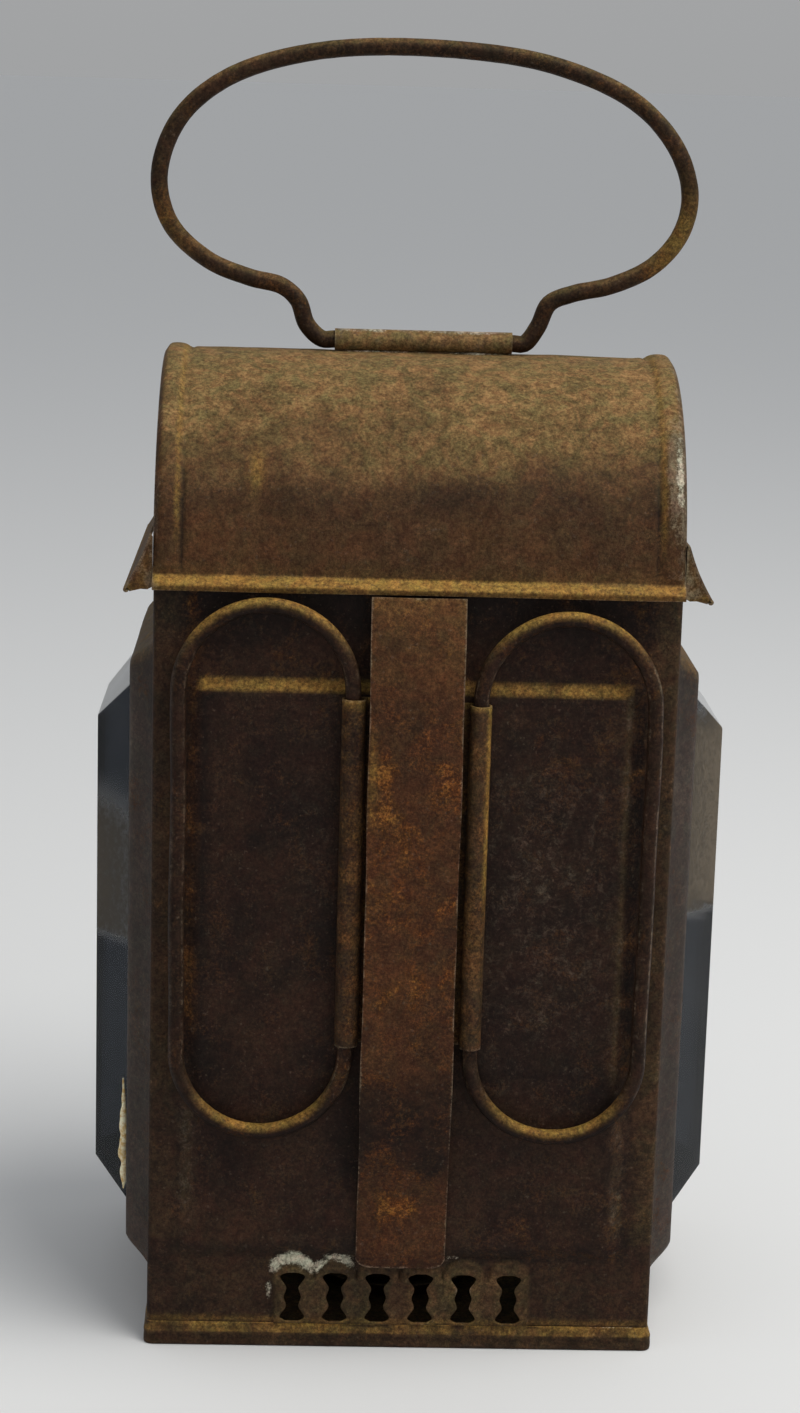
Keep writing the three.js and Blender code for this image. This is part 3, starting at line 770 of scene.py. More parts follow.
def plateau_rise(x, z):
    """How far the rear wall's pressed plateau stands out."""
    left, right, low, high = PLATEAU
    across = crisp_step(np.minimum(x - left, right - x) / PLATEAU_SLOPE + 1)
    upwards = crisp_step(np.minimum(z - low, high - z) / PLATEAU_SLOPE + 1)
    return PLATEAU_RISE * across * upwards


def vent_half_width(z):
    low, high = VENT_ROWS
    s = np.minimum(np.abs(2 * (z - low) / (high - low) - 1), 1)
    half = VENT["neck"] + VENT["flare"] * smooth(s, 0.35, 0.85) + VENT["bulge"] * hump(s, 0, 0.22)
    return half * (1 - 0.6 * smooth(s, 0.84, 1) ** 2)


def beyond_vents(z):
    """How far below or above the vents a height is, or less than 0 beside them."""
    return np.maximum(VENT_ROWS[0] - z, z - VENT_ROWS[1])


def strip_rise(x, z):
    """The scalloped strip round the vents, with a rolled rim at each vent."""
    left = VENT_CENTRES[0] - ARCH["radius"] + 0.4
    right = VENT_CENTRES[-1] + ARCH["radius"]
    inside = np.min([x - left, right - x, ARCH["z"] - z], axis=0)
    for centre in VENT_CENTRES:
        inside = np.maximum(inside, ARCH["radius"] - np.hypot(x - centre, z - ARCH["z"]))
    nearest = np.min([np.abs(x - centre) for centre in VENT_CENTRES], axis=0)
    outside_vent = np.maximum(nearest - vent_half_width(z), beyond_vents(z))
    edge = 0.22 * hump(inside, 0.55, 0.5)
    rim = 0.3 * hump(outside_vent, 0.65, 0.55) * smooth(inside, 0, 0.9)
    return ARCH["rise"] * smooth(inside, -0.2, 0.7) + edge + rim


def bent_to_vents(x, z):
    """Moves the columns beside each vent's middle so that they follow its outline."""
    column, gap = VENT["column"], VENT["gap"]
    half = vent_half_width(np.clip(z, *VENT_ROWS))
    half = column + (half - column) * smooth(beyond_vents(z), 1.2, 0)
    bent = x.copy()
    for centre in VENT_CENTRES:
        off = np.abs(x - centre)
        beyond = half + (off - column) * (gap - half) / (gap - column)
        moved = np.where(off <= column, off * half / column, beyond)
        bent = np.where(off < gap, centre + np.sign(x - centre) * moved, bent)
    return bent


def bent_columns(lo, hi, inner_lines):
    """Columns across a wall whose two upright edges bend round the case's corners."""
    turns = np.radians(np.linspace(0, 90, 6)[:-1])
    away = CORNER * (1 - np.cos(turns))
    back = CORNER * (1 - np.sin(turns))
    x = np.concatenate([lo + away, inner_lines, (hi - away)[::-1]])
    setback = np.concatenate([back, np.zeros(len(inner_lines)), back[::-1]])
    return x, setback


def chalk_on_vents(x, z):
    """White crust over the first two arches, down the strip's edge and by the strap's corner."""
    chalk = 0.75 * hump(x, -25.4, 0.7) * smooth(z, 6, 9) * smooth(z, 15, 12)
    for centre in VENT_CENTRES[:2]:
        away = np.hypot(x - centre, z - ARCH["z"])
        crust = 0.95 * hump(away, ARCH["radius"] - 0.1, 1.1) * smooth(z, 14.2, 16.6)
        chalk = np.maximum(chalk, crust)
    return np.maximum(chalk, 0.9 * spot(x, z, (10.6, 18.9), (1.6, 0.7)))


def paint_rear_wall(skin):
    x, z = skin.x, skin.z
    rear = skin.ny < 0.3
    left, right, low, high = PLATEAU
    lower = z < high
    within = smooth(np.minimum(x - left, right - x), -0.9, 1.2)
    slopes = hump(x, left - 1.4, 1.2) + hump(x, right + 1.5, 1.2)
    below_grips = smooth(z, 21, 30) * smooth(z, 62, 44)
    right_edge = 1.5 * hump(x, right - 0.1, 0.6) * smooth(z, 52, 60) * lower
    pitted = spot(x, z, (25, 90), (15, 34)) + 0.5 * spot(x, z, (-18, 103), (5, 14))

    ledge = smooth(z, high + 0.1, high + 0.6) * smooth(z, high + 3.1, high + 1.5) * within
    patchy = np.clip(0.95 + 0.3 * skin.waves(12, 26) + 0.2 * skin.waves(4, 27), 0.3, 1.3)
    # Gold along the plateau's top ledge and along the vents' lower lips is a painted highlight.
    skin.ochre += rear * (ledge * patchy + 0.25 * hump(z, 5.4, 0.7))
    above = smooth(z, high + 1, high + 3) * smooth(z, 144, 134) * within
    skin.rust += 0.3 * above + 0.8 * hump(x, left - 1.5, 1.3) * smooth(z, 56, 66)
    skin.rust += 0.6 * spot(x, z, (28, 122), (9, 6))
    skin.rust += 0.35 * hump(x, right + 1.7, 1.8) + 0.3 * hump(z, 26, 9) * hump(x, 30, 14)
    # Pale lines down the plateau's slopes below the grips and along its right edge are painted
    # highlights; the pitted spots get pale bloom.
    skin.bloom_and_highlight += rear * (1.1 * slopes * below_grips + 1.0 * right_edge + 0.7 * pitted + 0.08)
    skin.chalk += rear * chalk_on_vents(x, z) * (0.85 + 0.2 * skin.waves(3.5, 24))
    # The case's rounded corners get wear and a painted highlight.
    skin.wear_and_glint = 0.6 * skin.wear_and_glint + 0.22 * hump(np.abs(x), CASE_EDGE, 0.5)

    dim = skin.patches(17, 45, 0.0, 1.3) + 0.6 * skin.patches(7, 47, 0.2, 1.3)
    beside = smooth(z, 55, 62)
    # Darkening: a line along the plateau's top edge, a painted shadow under the hood's lip, a darker
    # middle and darker patches above it, painted shade along the plateau's lower edge and both sides,
    # a painted shadow under the grips' lower bends, and soot on the pitted spots.
    skin.soot_and_shade += 0.5 * hump(z, high - 0.5, 0.8) * within
    skin.soot_and_shade += 0.95 * smooth(z, 138, 146) + 0.25 * within * hump(z, 105, 40)
    skin.soot_and_shade += 0.6 * dim * smooth(z, 130, 100)
    skin.soot_and_shade += 0.7 * hump(z, low - 1.5, 1.8) * smooth(47 - np.abs(x), 0, 4)
    skin.soot_and_shade += 0.7 * hump(x, left + 1.0, 1.0) * beside * lower
    skin.soot_and_shade += 0.9 * hump(x, 2.0 + right, 1.2) * beside * (z < high + 3)
    skin.soot_and_shade += 0.4 * hump(z, 56, 5) * smooth(44 - np.abs(x), 0, 4) * smooth(np.abs(x), 9, 14)
    skin.soot_and_shade += 0.3 * pitted + 0.5 * spot(x, z, (18, 122), (3, 6)) * smooth(z, 100, 110)

    # Dust, with painted light: the raised strip round the vents is lighter as dust and painted
    # highlight, and the plateau's slopes below the grips, its right edge and the case's rounded
    # corners get painted light.
    strip = strip_rise(x, z) * smooth(z, PAN_TOP, 5.2)
    skin.dust_and_light += rear * 0.2 * skin.patches(21, 46, 0.0, 1.3) * smooth(z, 90, 20)
    skin.dust_and_light += rear * 0.22 * skin.patches(12, 48, 0.3, 1.4) * within * lower
    skin.dust_and_light = 0.3 * skin.dust_and_light + 0.6 * np.clip(strip, 0, 1) * rear
    skin.dust_and_light += 0.16 * hump(z, 12, 8) * (0.6 + 0.4 * skin.waves(14, 23)) * rear
    skin.dust_and_light += rear * (0.22 * slopes * below_grips + 0.26 * right_edge)
    skin.dust_and_light += rear * (0.16 * smooth(-x, 42, 46) + 0.24 * smooth(x, 43, 46)) * (z > 22)


def rear_wall():
    lo, hi = box_mm("rear_wall")
    face = hi[1] - SHEET
    strip = VENT_CENTRES[-1] + ARCH["radius"] + 1.5
    strip_top = ARCH["z"] + ARCH["radius"] + 1
    left, right, low, high = PLATEAU
    marks = (left, left - PLATEAU_SLOPE, right, right + PLATEAU_SLOPE)
    columns = [c + side * VENT["column"] for c in VENT_CENTRES for side in (-1, 1)]
    across = [
        lines(lo[0] + CORNER, -strip, GRID, marks)[:-1],
        lines(-strip, strip, FINE_GRID, columns)[:-1],
        lines(strip, hi[0] - CORNER, GRID, marks),
    ]
    x, setback = bent_columns(lo[0], hi[0], np.concatenate(across))
    upwards = [
        lines(lo[2], strip_top, FINE_GRID, VENT_ROWS)[:-1],
        lines(strip_top, hi[2], GRID, (low, high, high + PLATEAU_SLOPE)),
    ]
    gx, gz = np.meshgrid(x, np.concatenate(upwards), indexing="ij")
    keep = cells_outside(gx, gz, VENT["column"], *VENT_ROWS, VENT_CENTRES)
    gx = bent_to_vents(gx, gz)
    flat = stacked(gx, face, gz)
    dented = dents(flat, 0.16, 30, 11) + dents(flat, 0.05, 7, 12)
    dented *= smooth(CASE_HALF - np.abs(gx), 0.5, 6)
    rise = plateau_rise(gx, gz) + smooth(gz, PAN_TOP, 5.0) * strip_rise(gx, gz)
    grid = stacked(gx, face + setback[:, None] - rise + dented, gz)
    shape = shell(grid, SHEET, keep)
    piece("rear_wall_sheet", shape, "case", "rear_wall", paint=paint_rear_wall)


def paint_plain_wall(skin):
    x, y, z = skin.points.T
    # Painted shadow under the hood, darker near the foot, and a gold painted highlight line just
    # above the pan.
    skin.soot_and_shade += 0.6 * smooth(z, 138, 149) + 0.4 * hump(z, 6, 4)
    skin.rust += 0.3 * smooth(z, 30, 8) + 0.25 * skin.patches(26, 21, 0.0, 1.2)
    skin.bloom_and_highlight += 0.4 * skin.patches(19, 25, 0.1, 1.2) + 0.06
    skin.ochre += 0.18 * hump(z, 5.2, 1.0)
    skin.wear_and_glint += 0.5 * hump(np.abs(x), CASE_EDGE, 0.7) * hump(np.abs(y), DEPTH_EDGE, 0.8)
    skin.dust_and_light *= 0.5


def front_frame():
    lo, hi = box_mm("front_frame")
    inner_lines = lines(lo[0] + CORNER, hi[0] - CORNER, COARSE_GRID, (-DOORWAY_HALF, DOORWAY_HALF))
    x, setback = bent_columns(lo[0], hi[0], inner_lines)
    gz, gx = np.meshgrid(lines(lo[2], hi[2], COARSE_GRID, DOORWAY), x, indexing="ij")
    dented = dents(stacked(gx, hi[1], gz), 0.1, 30, 13) * smooth(CASE_HALF - np.abs(gx), 0.5, 5)
    grid = stacked(gx, hi[1] - setback - dented, gz)
    shape = shell(grid, SHEET, cells_outside(gx, gz, DOORWAY_HALF, *DOORWAY))
    piece("front_frame_sheet", shape, "case", "front_frame", paint=paint_plain_wall)


def side_wall(name, side):
    node = f"{name}_side_wall"
    lo, hi = box_mm(node)
    face = reach_mm(node)[1]
    y = lines(-SIDE_HALF, SIDE_HALF, COARSE_GRID, (-OPENING_HALF, OPENING_HALF))
    gy, gz = np.meshgrid(y, lines(lo[2], hi[2], COARSE_GRID, OPENING), indexing="ij")
    dented = dents(stacked(face * side, gy, gz), 0.12, 28, 14 + side)
    dented *= smooth(SIDE_HALF - np.abs(gy), 0, 5)
    dented *= smooth(np.abs(gy), OPENING_HALF, OPENING_HALF + 11.5)
    grid = stacked(face - dented, gy, gz)
    shape = on_side(shell(grid, SHEET, cells_outside(gy, gz, OPENING_HALF, *OPENING)), side)
    piece(node + "_sheet", shape, "case", node, paint=paint_plain_wall)


def paint_base_pan(skin):
    x, y, z = skin.points.T
    # The ledge's upward face carries a gold painted highlight.
    ledge = (smooth(z, 3.65, 3.95) + 0.5 * hump(z, 3.0, 0.25)) * smooth(skin.nz, 0.05, 0.3)
    gap = 1 - 0.8 * hump(x, -44, 4)
    patchy = 0.68 + 0.42 * skin.waves(11, 31) + 0.42 * skin.waves(3.5, 32)
    skin.ochre += 1.15 * ledge * gap * np.clip(patchy, 0, 1.3)
    skin.rust += 0.18 * hump(z, 1.5, 1.2)
    skin.bloom_and_highlight += 0.5 * hump(z, 0.35, 0.4) * (skin.nz < 0.3)
    skin.dust_and_light += 0.2 * (z < 3.2) * (skin.nz > -0.5)
    skin.chalk += (0.42 + 0.2 * skin.waves(3, 33)) * ledge * smooth(x, 22, 40)
    # Painted shade on the band below the lit ledge and inside the pan.
    skin.soot_and_shade += 0.5 * hump(z, 3.5, 0.25) + 0.45 * hump(z, 2.2, 0.7)
    skin.soot_and_shade += 0.5 * (z > 0.7) * (np.abs(x) < CASE_EDGE) * (np.abs(y) < 37)
    skin.wear_and_glint *= 0.8


def base_pan():
    half_x, half_y, top = box_mm("base_pan")[1]
    outside = (
        (2.0, 0.0, 2.0), (0.5, 0.0, 1.8), (0.12, 0.14, 1.8), (0.0, 0.5, 1.8), (0.0, 1.3, 1.8),
        (0.05, 2.1, 1.8), (0.0, 2.75, 1.8), (0.1, 3.05, 1.8), (0.3, 3.8, 1.6), (0.5, 4.45, 1.4),
    )
    inside = (
        (0.6, top, 1.2), (0.65, top, 1.2), (0.65, 2.8, 1.1), (0.65, 0.9, 1.1), (0.8, 0.8, 1.1),
        (2.0, 0.8, 1.0),
    )
    rings = []
    for inset, z, corner in outside + inside:
        sides = (-half_x + inset, half_x - inset, -half_y + inset, half_y - inset)
        rings.append(ring(sides, corner, z, 90, 70))
    rings = np.array(rings)
    outer = rings[: len(outside)]
    depth = dents(outer, 0.16, 22, 15) * smooth(outer[..., 2], 0.1, 0.5)
    depth *= outer[..., 0] != 0  # the line up the middle stays straight
    outer -= unit(outer * (1, 1, 0), 2) * depth[..., None]
    piece("base_pan_sheet", loft(rings), "case", "base_pan", paint=paint_base_pan)


# Glazing.


def paint_window_frame(skin):
    x, y, z = skin.points.T
    skin.dust_and_light *= 0.9
    skin.rust += 0.3 * smooth(z, 45, 12) + 0.35 * skin.patches(24, 41, 0.1, 1.2)
    # A painted highlight on the upper faces near the top, darker near the top as a painted shadow
    # under the eave, and a painted glint along the crown's edge.
    skin.ochre += 0.25 * np.clip(skin.nz, 0, 1) * smooth(z, 120, 138)
    skin.soot_and_shade += 0.5 * skin.patches(30, 43, 0.2, 1.3) + 0.4 * smooth(z, 122, 136)
    crown = smooth(np.abs(x), 53.2, 53.6) * smooth(-y, 20, 23)
    skin.bloom_and_highlight += 0.55 * skin.patches(17, 42, -0.1, 1.1) + 0.12 + 0.6 * crown * smooth(z, 40, 60)


def pressed_frame(parts):
    """Closed section of a window frame pressed out in an ogee, as frame_rings rows."""
    flange, splay, rise = parts.flange, parts.splay, parts.rise
    rows = [(0.0, 0.0, 3.2)]
    if flange:
        rows += [(0.0, SHEET, 3.2), (flange * 0.45, SHEET, 3.0), (flange * 0.9, SHEET, 2.8)]
    base = SHEET if flange else 0.0
    foot = base + 0.12
    for t in np.linspace(0, 1, 9):
        ogee = 0.55 * t + 0.45 * smooth(t)
        inset = flange + splay * t + (0.12 if t == 0 else 0)
        rows.append((inset, foot + (rise - foot) * ogee, 3.0 - 1.4 * t))
    crown = flange + splay
    edge = crown + FRAME_RIM
    return rows + [
        (crown + 0.25, rise + 0.02, 1.5), (crown + FRAME_RIM * 0.35, rise - 0.06, 1.3),
        (crown + FRAME_RIM * 0.7, rise - 0.06, 1.0), (edge - 0.5, rise + 0.03, 0.8),
        (edge - 0.15, rise - 0.05, 0.7), (edge, rise - 0.3, 0.6), (edge, rise - SHEET, 0.6),
        (crown + 0.6, rise - SHEET, 1.2),
        (flange + splay * 0.5 + 0.5, base + (rise - base) * 0.5 - 0.45, 2.0),
        (flange + 0.6, 0.0, 2.4),
    ]


def bevelled_glass(parts):
    """Bevelled plate from its back to its face, as frame_rings rows."""
    edge = parts.flange + parts.splay + FRAME_RIM
    back, front = parts.rise - SHEET - 3.1, parts.rise - SHEET - 0.05
    step, top = parts.rise + GLASS_STEP, parts.rise + parts.proud
    lap = edge + 0.15
    face = lap + GLASS_BEVEL
    rows = (
        (edge + 6, back), (edge - 1.7, back), (edge - 2.0, back + 0.3), (edge - 2.0, front),
        (lap, front), (lap, step), (lap + 0.16, step + 0.14),
        (face - 0.1, top - 0.04, LOWER_BEVEL_DROP), (face + 0.12, top, LOWER_BEVEL_DROP),
        (face + 3, top),
    )
    return [(inset, height, 0.3, *drop) for inset, height, *drop in rows]


def glass_keeper(parts):
    """Closed section of the flat sheet frame behind the glass, as frame_rings rows."""
    edge = parts.flange + parts.splay + FRAME_RIM
    front = parts.rise - SHEET - 3.15
    back, outer, inner = front - SHEET, edge - 4, edge + 1.5
    return [
        (outer, back, 1.2), (outer, front - 0.1, 1.2), (outer + 0.1, front, 1.2),
        (inner - 0.1, front, 0.8), (inner, front - 0.1, 0.8), (inner, back + 0.1, 0.8),
        (inner - 0.1, back, 0.8), (outer + 0.1, back, 1.2),
    ]


def paint_glass(skin):
    """Pale bands painted across the middle of the rear bevel as a painted reflection, and a brown
    film towards its foot.
    """
    x, y, z = skin.points.T
    bevel = smooth(np.abs(x), 53, 55) * smooth(-y, 13.2, 14.6)
    left_band = smooth(z, 75, 79) * smooth(z, 112, 98) * (x < 0)
    right_band = smooth(z, 83, 87) * smooth(z, 130, 122) * (x > 0)
    skin.soot_and_shade = 0.3 * smooth(z, 28, 21)
    skin.dust_and_light = (0.55 * left_band + 0.85 * right_band) * bevel


def window(name, stem, side, origin, parts, body, seed):
    """A pressed frame, its bevelled glass and the keeper behind it, on the wall at origin."""
    rings = frame_rings(parts.foot, pressed_frame(parts))
    rings[..., 2] -= dents(rings, 0.1, 18, seed) * smooth(rings[..., 2], 0.5, 3)
    shape = loft(facing(rings, side, origin), closed=True)
    piece(f"{stem}_frame_sheet", shape, "frame", f"{stem}_frame", body, paint=paint_window_frame)
    rings = frame_rings(parts.foot, bevelled_glass(parts), *parts.glass_steps)
    shape = loft(facing(rings, side, origin))
    glass = f"{name}_bevelled_glass"
    piece(glass, shape, parts.look, f"{stem}_glass", body, paint_glass, crease=12)
    rings = frame_rings(parts.foot, glass_keeper(parts))
    shape = loft(facing(rings, side, origin), closed=True)
    piece(f"{name}_glass_keeper", shape, "case", f"{name}_glass_retainer", body)


def side_window(name, side):
    out = reach_mm(f"{name}_side_wall")[1] + 0.05
    window(name, f"{name}_window", name, (side * out, 0, 0), SIDE_GLAZING, "case", 51 + side)


def door():
    out = box_mm("door_frame")[0][1]
    window("door", "door", "front", (0, out, 0), DOOR_GLAZING, "door", 54)


# Hood.


def paint_hood(skin):
    x, y, z = skin.points.T
    outside = np.hypot(y, np.maximum(z - SPRING_Z, 0)) > HOOD_RADIUS - 0.45
    lip = smooth(z, LIP["high"] + 0.2, LIP["high"] - 0.9) * outside
    shelf = lip * smooth(skin.nz, -0.05, 0.4)
    from_end = CASE_HALF - np.abs(x)
    groove = hump(from_end, BEAD["width"] * 1.14, 0.6) * (1 - 0.5 * smooth(z, 176, 190))
    dark = 0.9 * spot(x, z, (7, 168.5), (7, 2.6)) + 0.35 * hump(z, 166, 4)
    dark += 0.3 * spot(x, z, (-22, 168), (12, 3.0))
    dark += 0.25 * skin.patches(20, 28, 0.4, 1.4) * smooth(z, 186, 170)

    uneven = 0.06 * skin.waves(26, 19) + 0.05 * skin.waves(11, 20)
    # Dust and painted top light: lighter towards the top of the arch, less on the dark patches.
    skin.dust_and_light = (smooth(skin.nz + uneven, 0.28, 1.06) + 0.05) * outside * (1 - lip)
    skin.dust_and_light *= 1 - 0.85 * np.clip(dark, 0, 1)
    # The lip's upward shelf and the band just above it carry a gold painted highlight; the beads'
    # upper parts are lighter, and a spot at the upper left gets ochre.
    skin.ochre += (1.0 - 0.35 * smooth(x, 12, 45)) * shelf + 0.22 * lip
    skin.ochre += 0.1 * smooth(z, 157, 152) * outside
    skin.ochre += 0.4 * hump(from_end, BEAD["width"] * 0.9, 0.5) * outside * smooth(z, 156, 166)
    skin.ochre += 0.6 * spot(x, z, (-30.5, 172), (1.2, 3.0))
    # A white worn spot on the right bead, also a painted highlight.
    skin.chalk += spot(x, z, (48.0, 172), (1.0, 7))
    # Painted highlight along the ridge.
    skin.bloom_and_highlight += 0.6 * smooth(skin.nz, 0.93, 1.0) * outside
    skin.rust += 0.2 * hump(z, 158, 7) * outside * (1 - lip)
    # Painted shade in the grooves inside the beads and inside the hood.
    skin.soot_and_shade += 0.5 * groove * outside + 0.5 * ~outside
    skin.soot_and_shade += 0.8 * dark * (0.8 + 0.4 * skin.waves(14, 22))
    # The right bead's worn spot again, also a painted highlight.
    skin.wear_and_glint += hump(x, 47.2, 1.6) * (1.1 * hump(z, 173, 8) + 0.35)
    skin.wear_and_glint += 0.35 * hump(np.abs(x), CASE_EDGE, 0.8)


def hood_section():
    """The hood's outer line in (y, z), from the rear lip over the top to the front lip."""
    heights = np.linspace(LIP["low"], LIP["high"], 13)
    t = (heights - LIP["low"]) / (LIP["high"] - LIP["low"])
    out = HOOD_RADIUS + LIP["out"] * (1 - smooth(t, 0.35, 1.0)) - 0.35 * smooth(t, 0.25, 0.0)
    angles = np.linspace(math.pi - 0.03, 0.03, HOOD_STEPS)
    over = stacked(HOOD_RADIUS * np.cos(angles), SPRING_Z + HOOD_RADIUS * np.sin(angles))
    return np.concatenate([stacked(-out, heights), over, stacked(out, heights)[::-1]])


def hood_shell():
    half = box_mm("hood_shell")[1][0]
    section = hood_section()
    bead = BEAD["width"]
    end = lines(-half, -half + bead + 1.5, 0.38)
    x = np.concatenate([end[:-1], lines(end[-1], -end[-1], GRID), -end[::-1][1:]])
    along = unit(np.gradient(section, axis=0))
    out = stacked(-along[:, 1], along[:, 0])
    grid = stacked(x[:, None], *section.T)
    arch = smooth(section[:, 1], SPRING_Z + 0.6, SPRING_Z + 2.5)
    share = (half - np.abs(x))[:, None] / bead
    crown = BEAD["rise"] * (1 - np.abs(np.clip(2 * share - 1, -1, 1)) ** 2.4)
    crown = crown - BEAD["turn"] * smooth(share, 0.26, -0.02) ** 1.5
    groove = 0.3 * hump(share, 1.14, 0.1)
    dented = (dents(grid, 0.30, 34, 16) + 0.07 * waves(grid, 8, 17) ** 2) * smooth(share, 0.9, 1.6)
    lip_wave = 0.12 * waves(grid, 30, 18) * (1 - arch) * (section[:, 1] < LIP["high"])
    push = (crown - groove - dented) * arch + lip_wave
    grid[..., 1:] += out * push[..., None]
    piece("hood_sheet", shell(grid, SHEET), "hood", "hood_shell", paint=paint_hood, crease=50)


def smoke_holes(y, z):
    """Distance to the middle of each smoke hole, and the middles themselves, as (y, z)."""
    turns = [math.pi * k / (HOLE_COUNT + 1) for k in range(1, HOLE_COUNT + 1)]
    middles = [(HOLE_ARC * math.cos(a), SPRING_Z + HOLE_ARC * math.sin(a)) for a in turns]
    return [np.hypot(y - middle[0], z - middle[1]) for middle in middles], middles


def paint_hood_end(skin):
    near = np.min(smoke_holes(skin.y, skin.z)[0], axis=0)
    skin.bloom_and_highlight += 0.35 * skin.patches(15, 29, 0.0, 1.2)
    skin.soot_and_shade += 0.9 * hump(near, HOLE_RADIUS, 3.0) + 0.3
    skin.rust += 0.35 * hump(near, HOLE_RADIUS + 3, 3.0) + 0.25 * smooth(skin.z, 170, 156)
    skin.wear_and_glint += 0.3 * hump(near, HOLE_RADIUS + 0.4, 0.4)


def hood_end(name, side):
    node = f"{name}_hood_end"
    radius = box_mm(node)[1][1]
    face = reach_mm(node)[1]
    rows = np.concatenate([[1.0], lines(3.0, radius, 0.8)])
    r, a = np.meshgrid(rows, np.linspace(0, math.pi, HOOD_END_STEPS), indexing="ij")
    y, z = r * np.cos(a), SPRING_Z + r * np.sin(a)
    away, middles = smoke_holes(y, z)
    relief = -0.45 * hump(r, radius - 4.6, 1.1) - 0.2 * smooth(r, radius - 1.2, radius)
    relief += 0.3 * hump(away, HOLE_RADIUS + 0.55, 0.55).sum(0)
    holes = [plate(arc(middle, HOLE_RADIUS, 0, 350), face - 3, face + 3, "x") for middle in middles]
    shape = on_side(shell(stacked(face + relief - 0.02, y, z), SHEET), side)
    cut = on_side(merged(*holes), side)
    piece(node + "_sheet", shape, "case", node, paint=paint_hood_end, cut=cut)


def paint_eave(skin):
    # Painted highlight on the upper faces and along the rolled tip, and painted shade underneath.
    skin.ochre += 0.1 * np.clip(skin.nz, 0, 1) + 0.35 * hump(skin.z, 150.2, 0.7)
    skin.rust += 0.2 * smooth(skin.z, 156, 151)
    skin.dust_and_light *= 0.45
    skin.soot_and_shade += 0.6 * (skin.nz < -0.3)


def eave(name, side):
    """A sloping sheet with a rolled tip and a closing plate at each end."""
    node = f"{name}_eave"
    lo, hi = box_mm(node)
    near, tip = reach_mm(node)
    top, low, half = hi[2], lo[2], hi[1]
    roll = 0.55
    t = np.linspace(0, 1, 12)
    start, end = np.array((near + 0.55, top - 0.1)), np.array((tip - 0.25, low + 1.0))
    slope = start + (end - start) * t[:, None]
    slope[:, 0] -= 0.35 * np.sin(np.pi * t)
    tip_roll = arc((tip - roll, low + roll + 0.05), roll, 20, -150, 24)
    section = np.concatenate([slope, tip_roll])
    grid = stacked(section[:, :1], lines(-half, half, 1.5), section[:, 1:])
    sag = np.concatenate([np.sin(np.pi * t), np.zeros(len(tip_roll))])
    grid[..., 2] -= dents(grid, 0.2, 26, 61 + side) * sag[:, None]
    under = [
        (near, low + 1.2), (near + 0.9, low + 0.7), (near + 2.2, low + 0.75),
        (tip - 1.2, low + 0.25), (tip - 0.75, low + 1.0),
    ]
    outline = np.concatenate([under, slope[::-1] - (0.3, 0.15), [(near, top - 0.6)]])
    ends = [plate(outline, y0, y0 + SHEET, "y") for y0 in (-half + 0.05, half - SHEET - 0.05)]
    shape = on_side(merged(shell(grid, EAVE_SHEET), *ends), side)
    piece(node + "_sheet", shape, "hood", node, paint=paint_eave)


def paint_sleeve(skin):
    # Lighter all round and lighter still on top as dust and painted light, painted shade underneath,
    # and a painted highlight along the top.
    skin.dust_and_light = 0.45 * smooth(skin.nz, 0.0, 0.9) + 0.72
    skin.soot_and_shade += 0.5 * smooth(-skin.nz, 0.5, 0.95)
    skin.bloom_and_highlight += 0.8
    skin.chalk += 0.6 * smooth(skin.nz, 0.6, 1.0)


def bail_sleeve():
    lo, hi = box_mm("bail_sleeve")
    z = (lo[2] + hi[2]) / 2
    wall = 0.35
    mid = (hi[2] - lo[2]) / 2 - wall / 2
    turn = arc((0, z), mid, -104, 256, 12)[:-1]
    points, faces = rolled(turn, wall, lo[0], hi[0], "x", 0.8)
    squeeze = 1 - dents(points * (1, 0, 0), 0.035, 9, 71)
    outer = np.hypot(points[:, 1], points[:, 2] - z) > mid
    points[:, 1] *= np.where(outer, squeeze, 1)
    piece("bail_sleeve_tube", (points, faces), "hood", "bail_sleeve", paint=paint_sleeve)


def ridge_solder():
    """The low fillet that holds the sleeve on the ridge."""
    lo, hi = box_mm("bail_sleeve")
    top = SPRING_Z + HOOD_RADIUS
    x = np.linspace(lo[0] + 0.6, hi[0] - 0.6, 60)
    rings = []
    for k, place in enumerate(x):
        ends = min(1, (k + 1) / 4, (len(x) - k) / 4)
        wide = (1.7 + 0.35 * waves(np.array((place, 0, 0)), 5, 72)) * ends
        tall = (0.55 + 0.12 * waves(np.array((place, 3, 0)), 4, 73)) * ends
        half = [(wide, -0.25), (wide * 0.75, 0.02), (wide * 0.45, tall * 0.45), (wide * 0.28, tall)]
        outline = half + [(-y, z) for y, z in half[::-1]]
        rings.append([(place, y, top + z) for y, z in outline])
    piece("ridge_solder", loft(rings), "wire", paint=paint_sleeve)


# Bail, grips and strap.


def paint_bail(skin):
    x, z = skin.x, skin.z
    # Lighter on top as dust and painted top light, with a painted highlight along the top; the spots
    # near the bends are ochre.
    skin.dust_and_light = 1.2 * smooth(skin.nz, 0.2, 0.8) + 0.1
    skin.ochre += 0.45 * spot(x, z, (50, 213), (6, 9)) + 0.2 * spot(x, z, (-49, 212), (5, 8))
    skin.rust += 0.45 * skin.patches(16, 81, 0.2, 1.2) + 0.25
    skin.wear_and_glint = 0.25 * skin.patches(9, 82, 0.5, 1.4) + 0.45 * smooth(skin.nz, 0.6, 0.95)
    skin.soot_and_shade *= 0


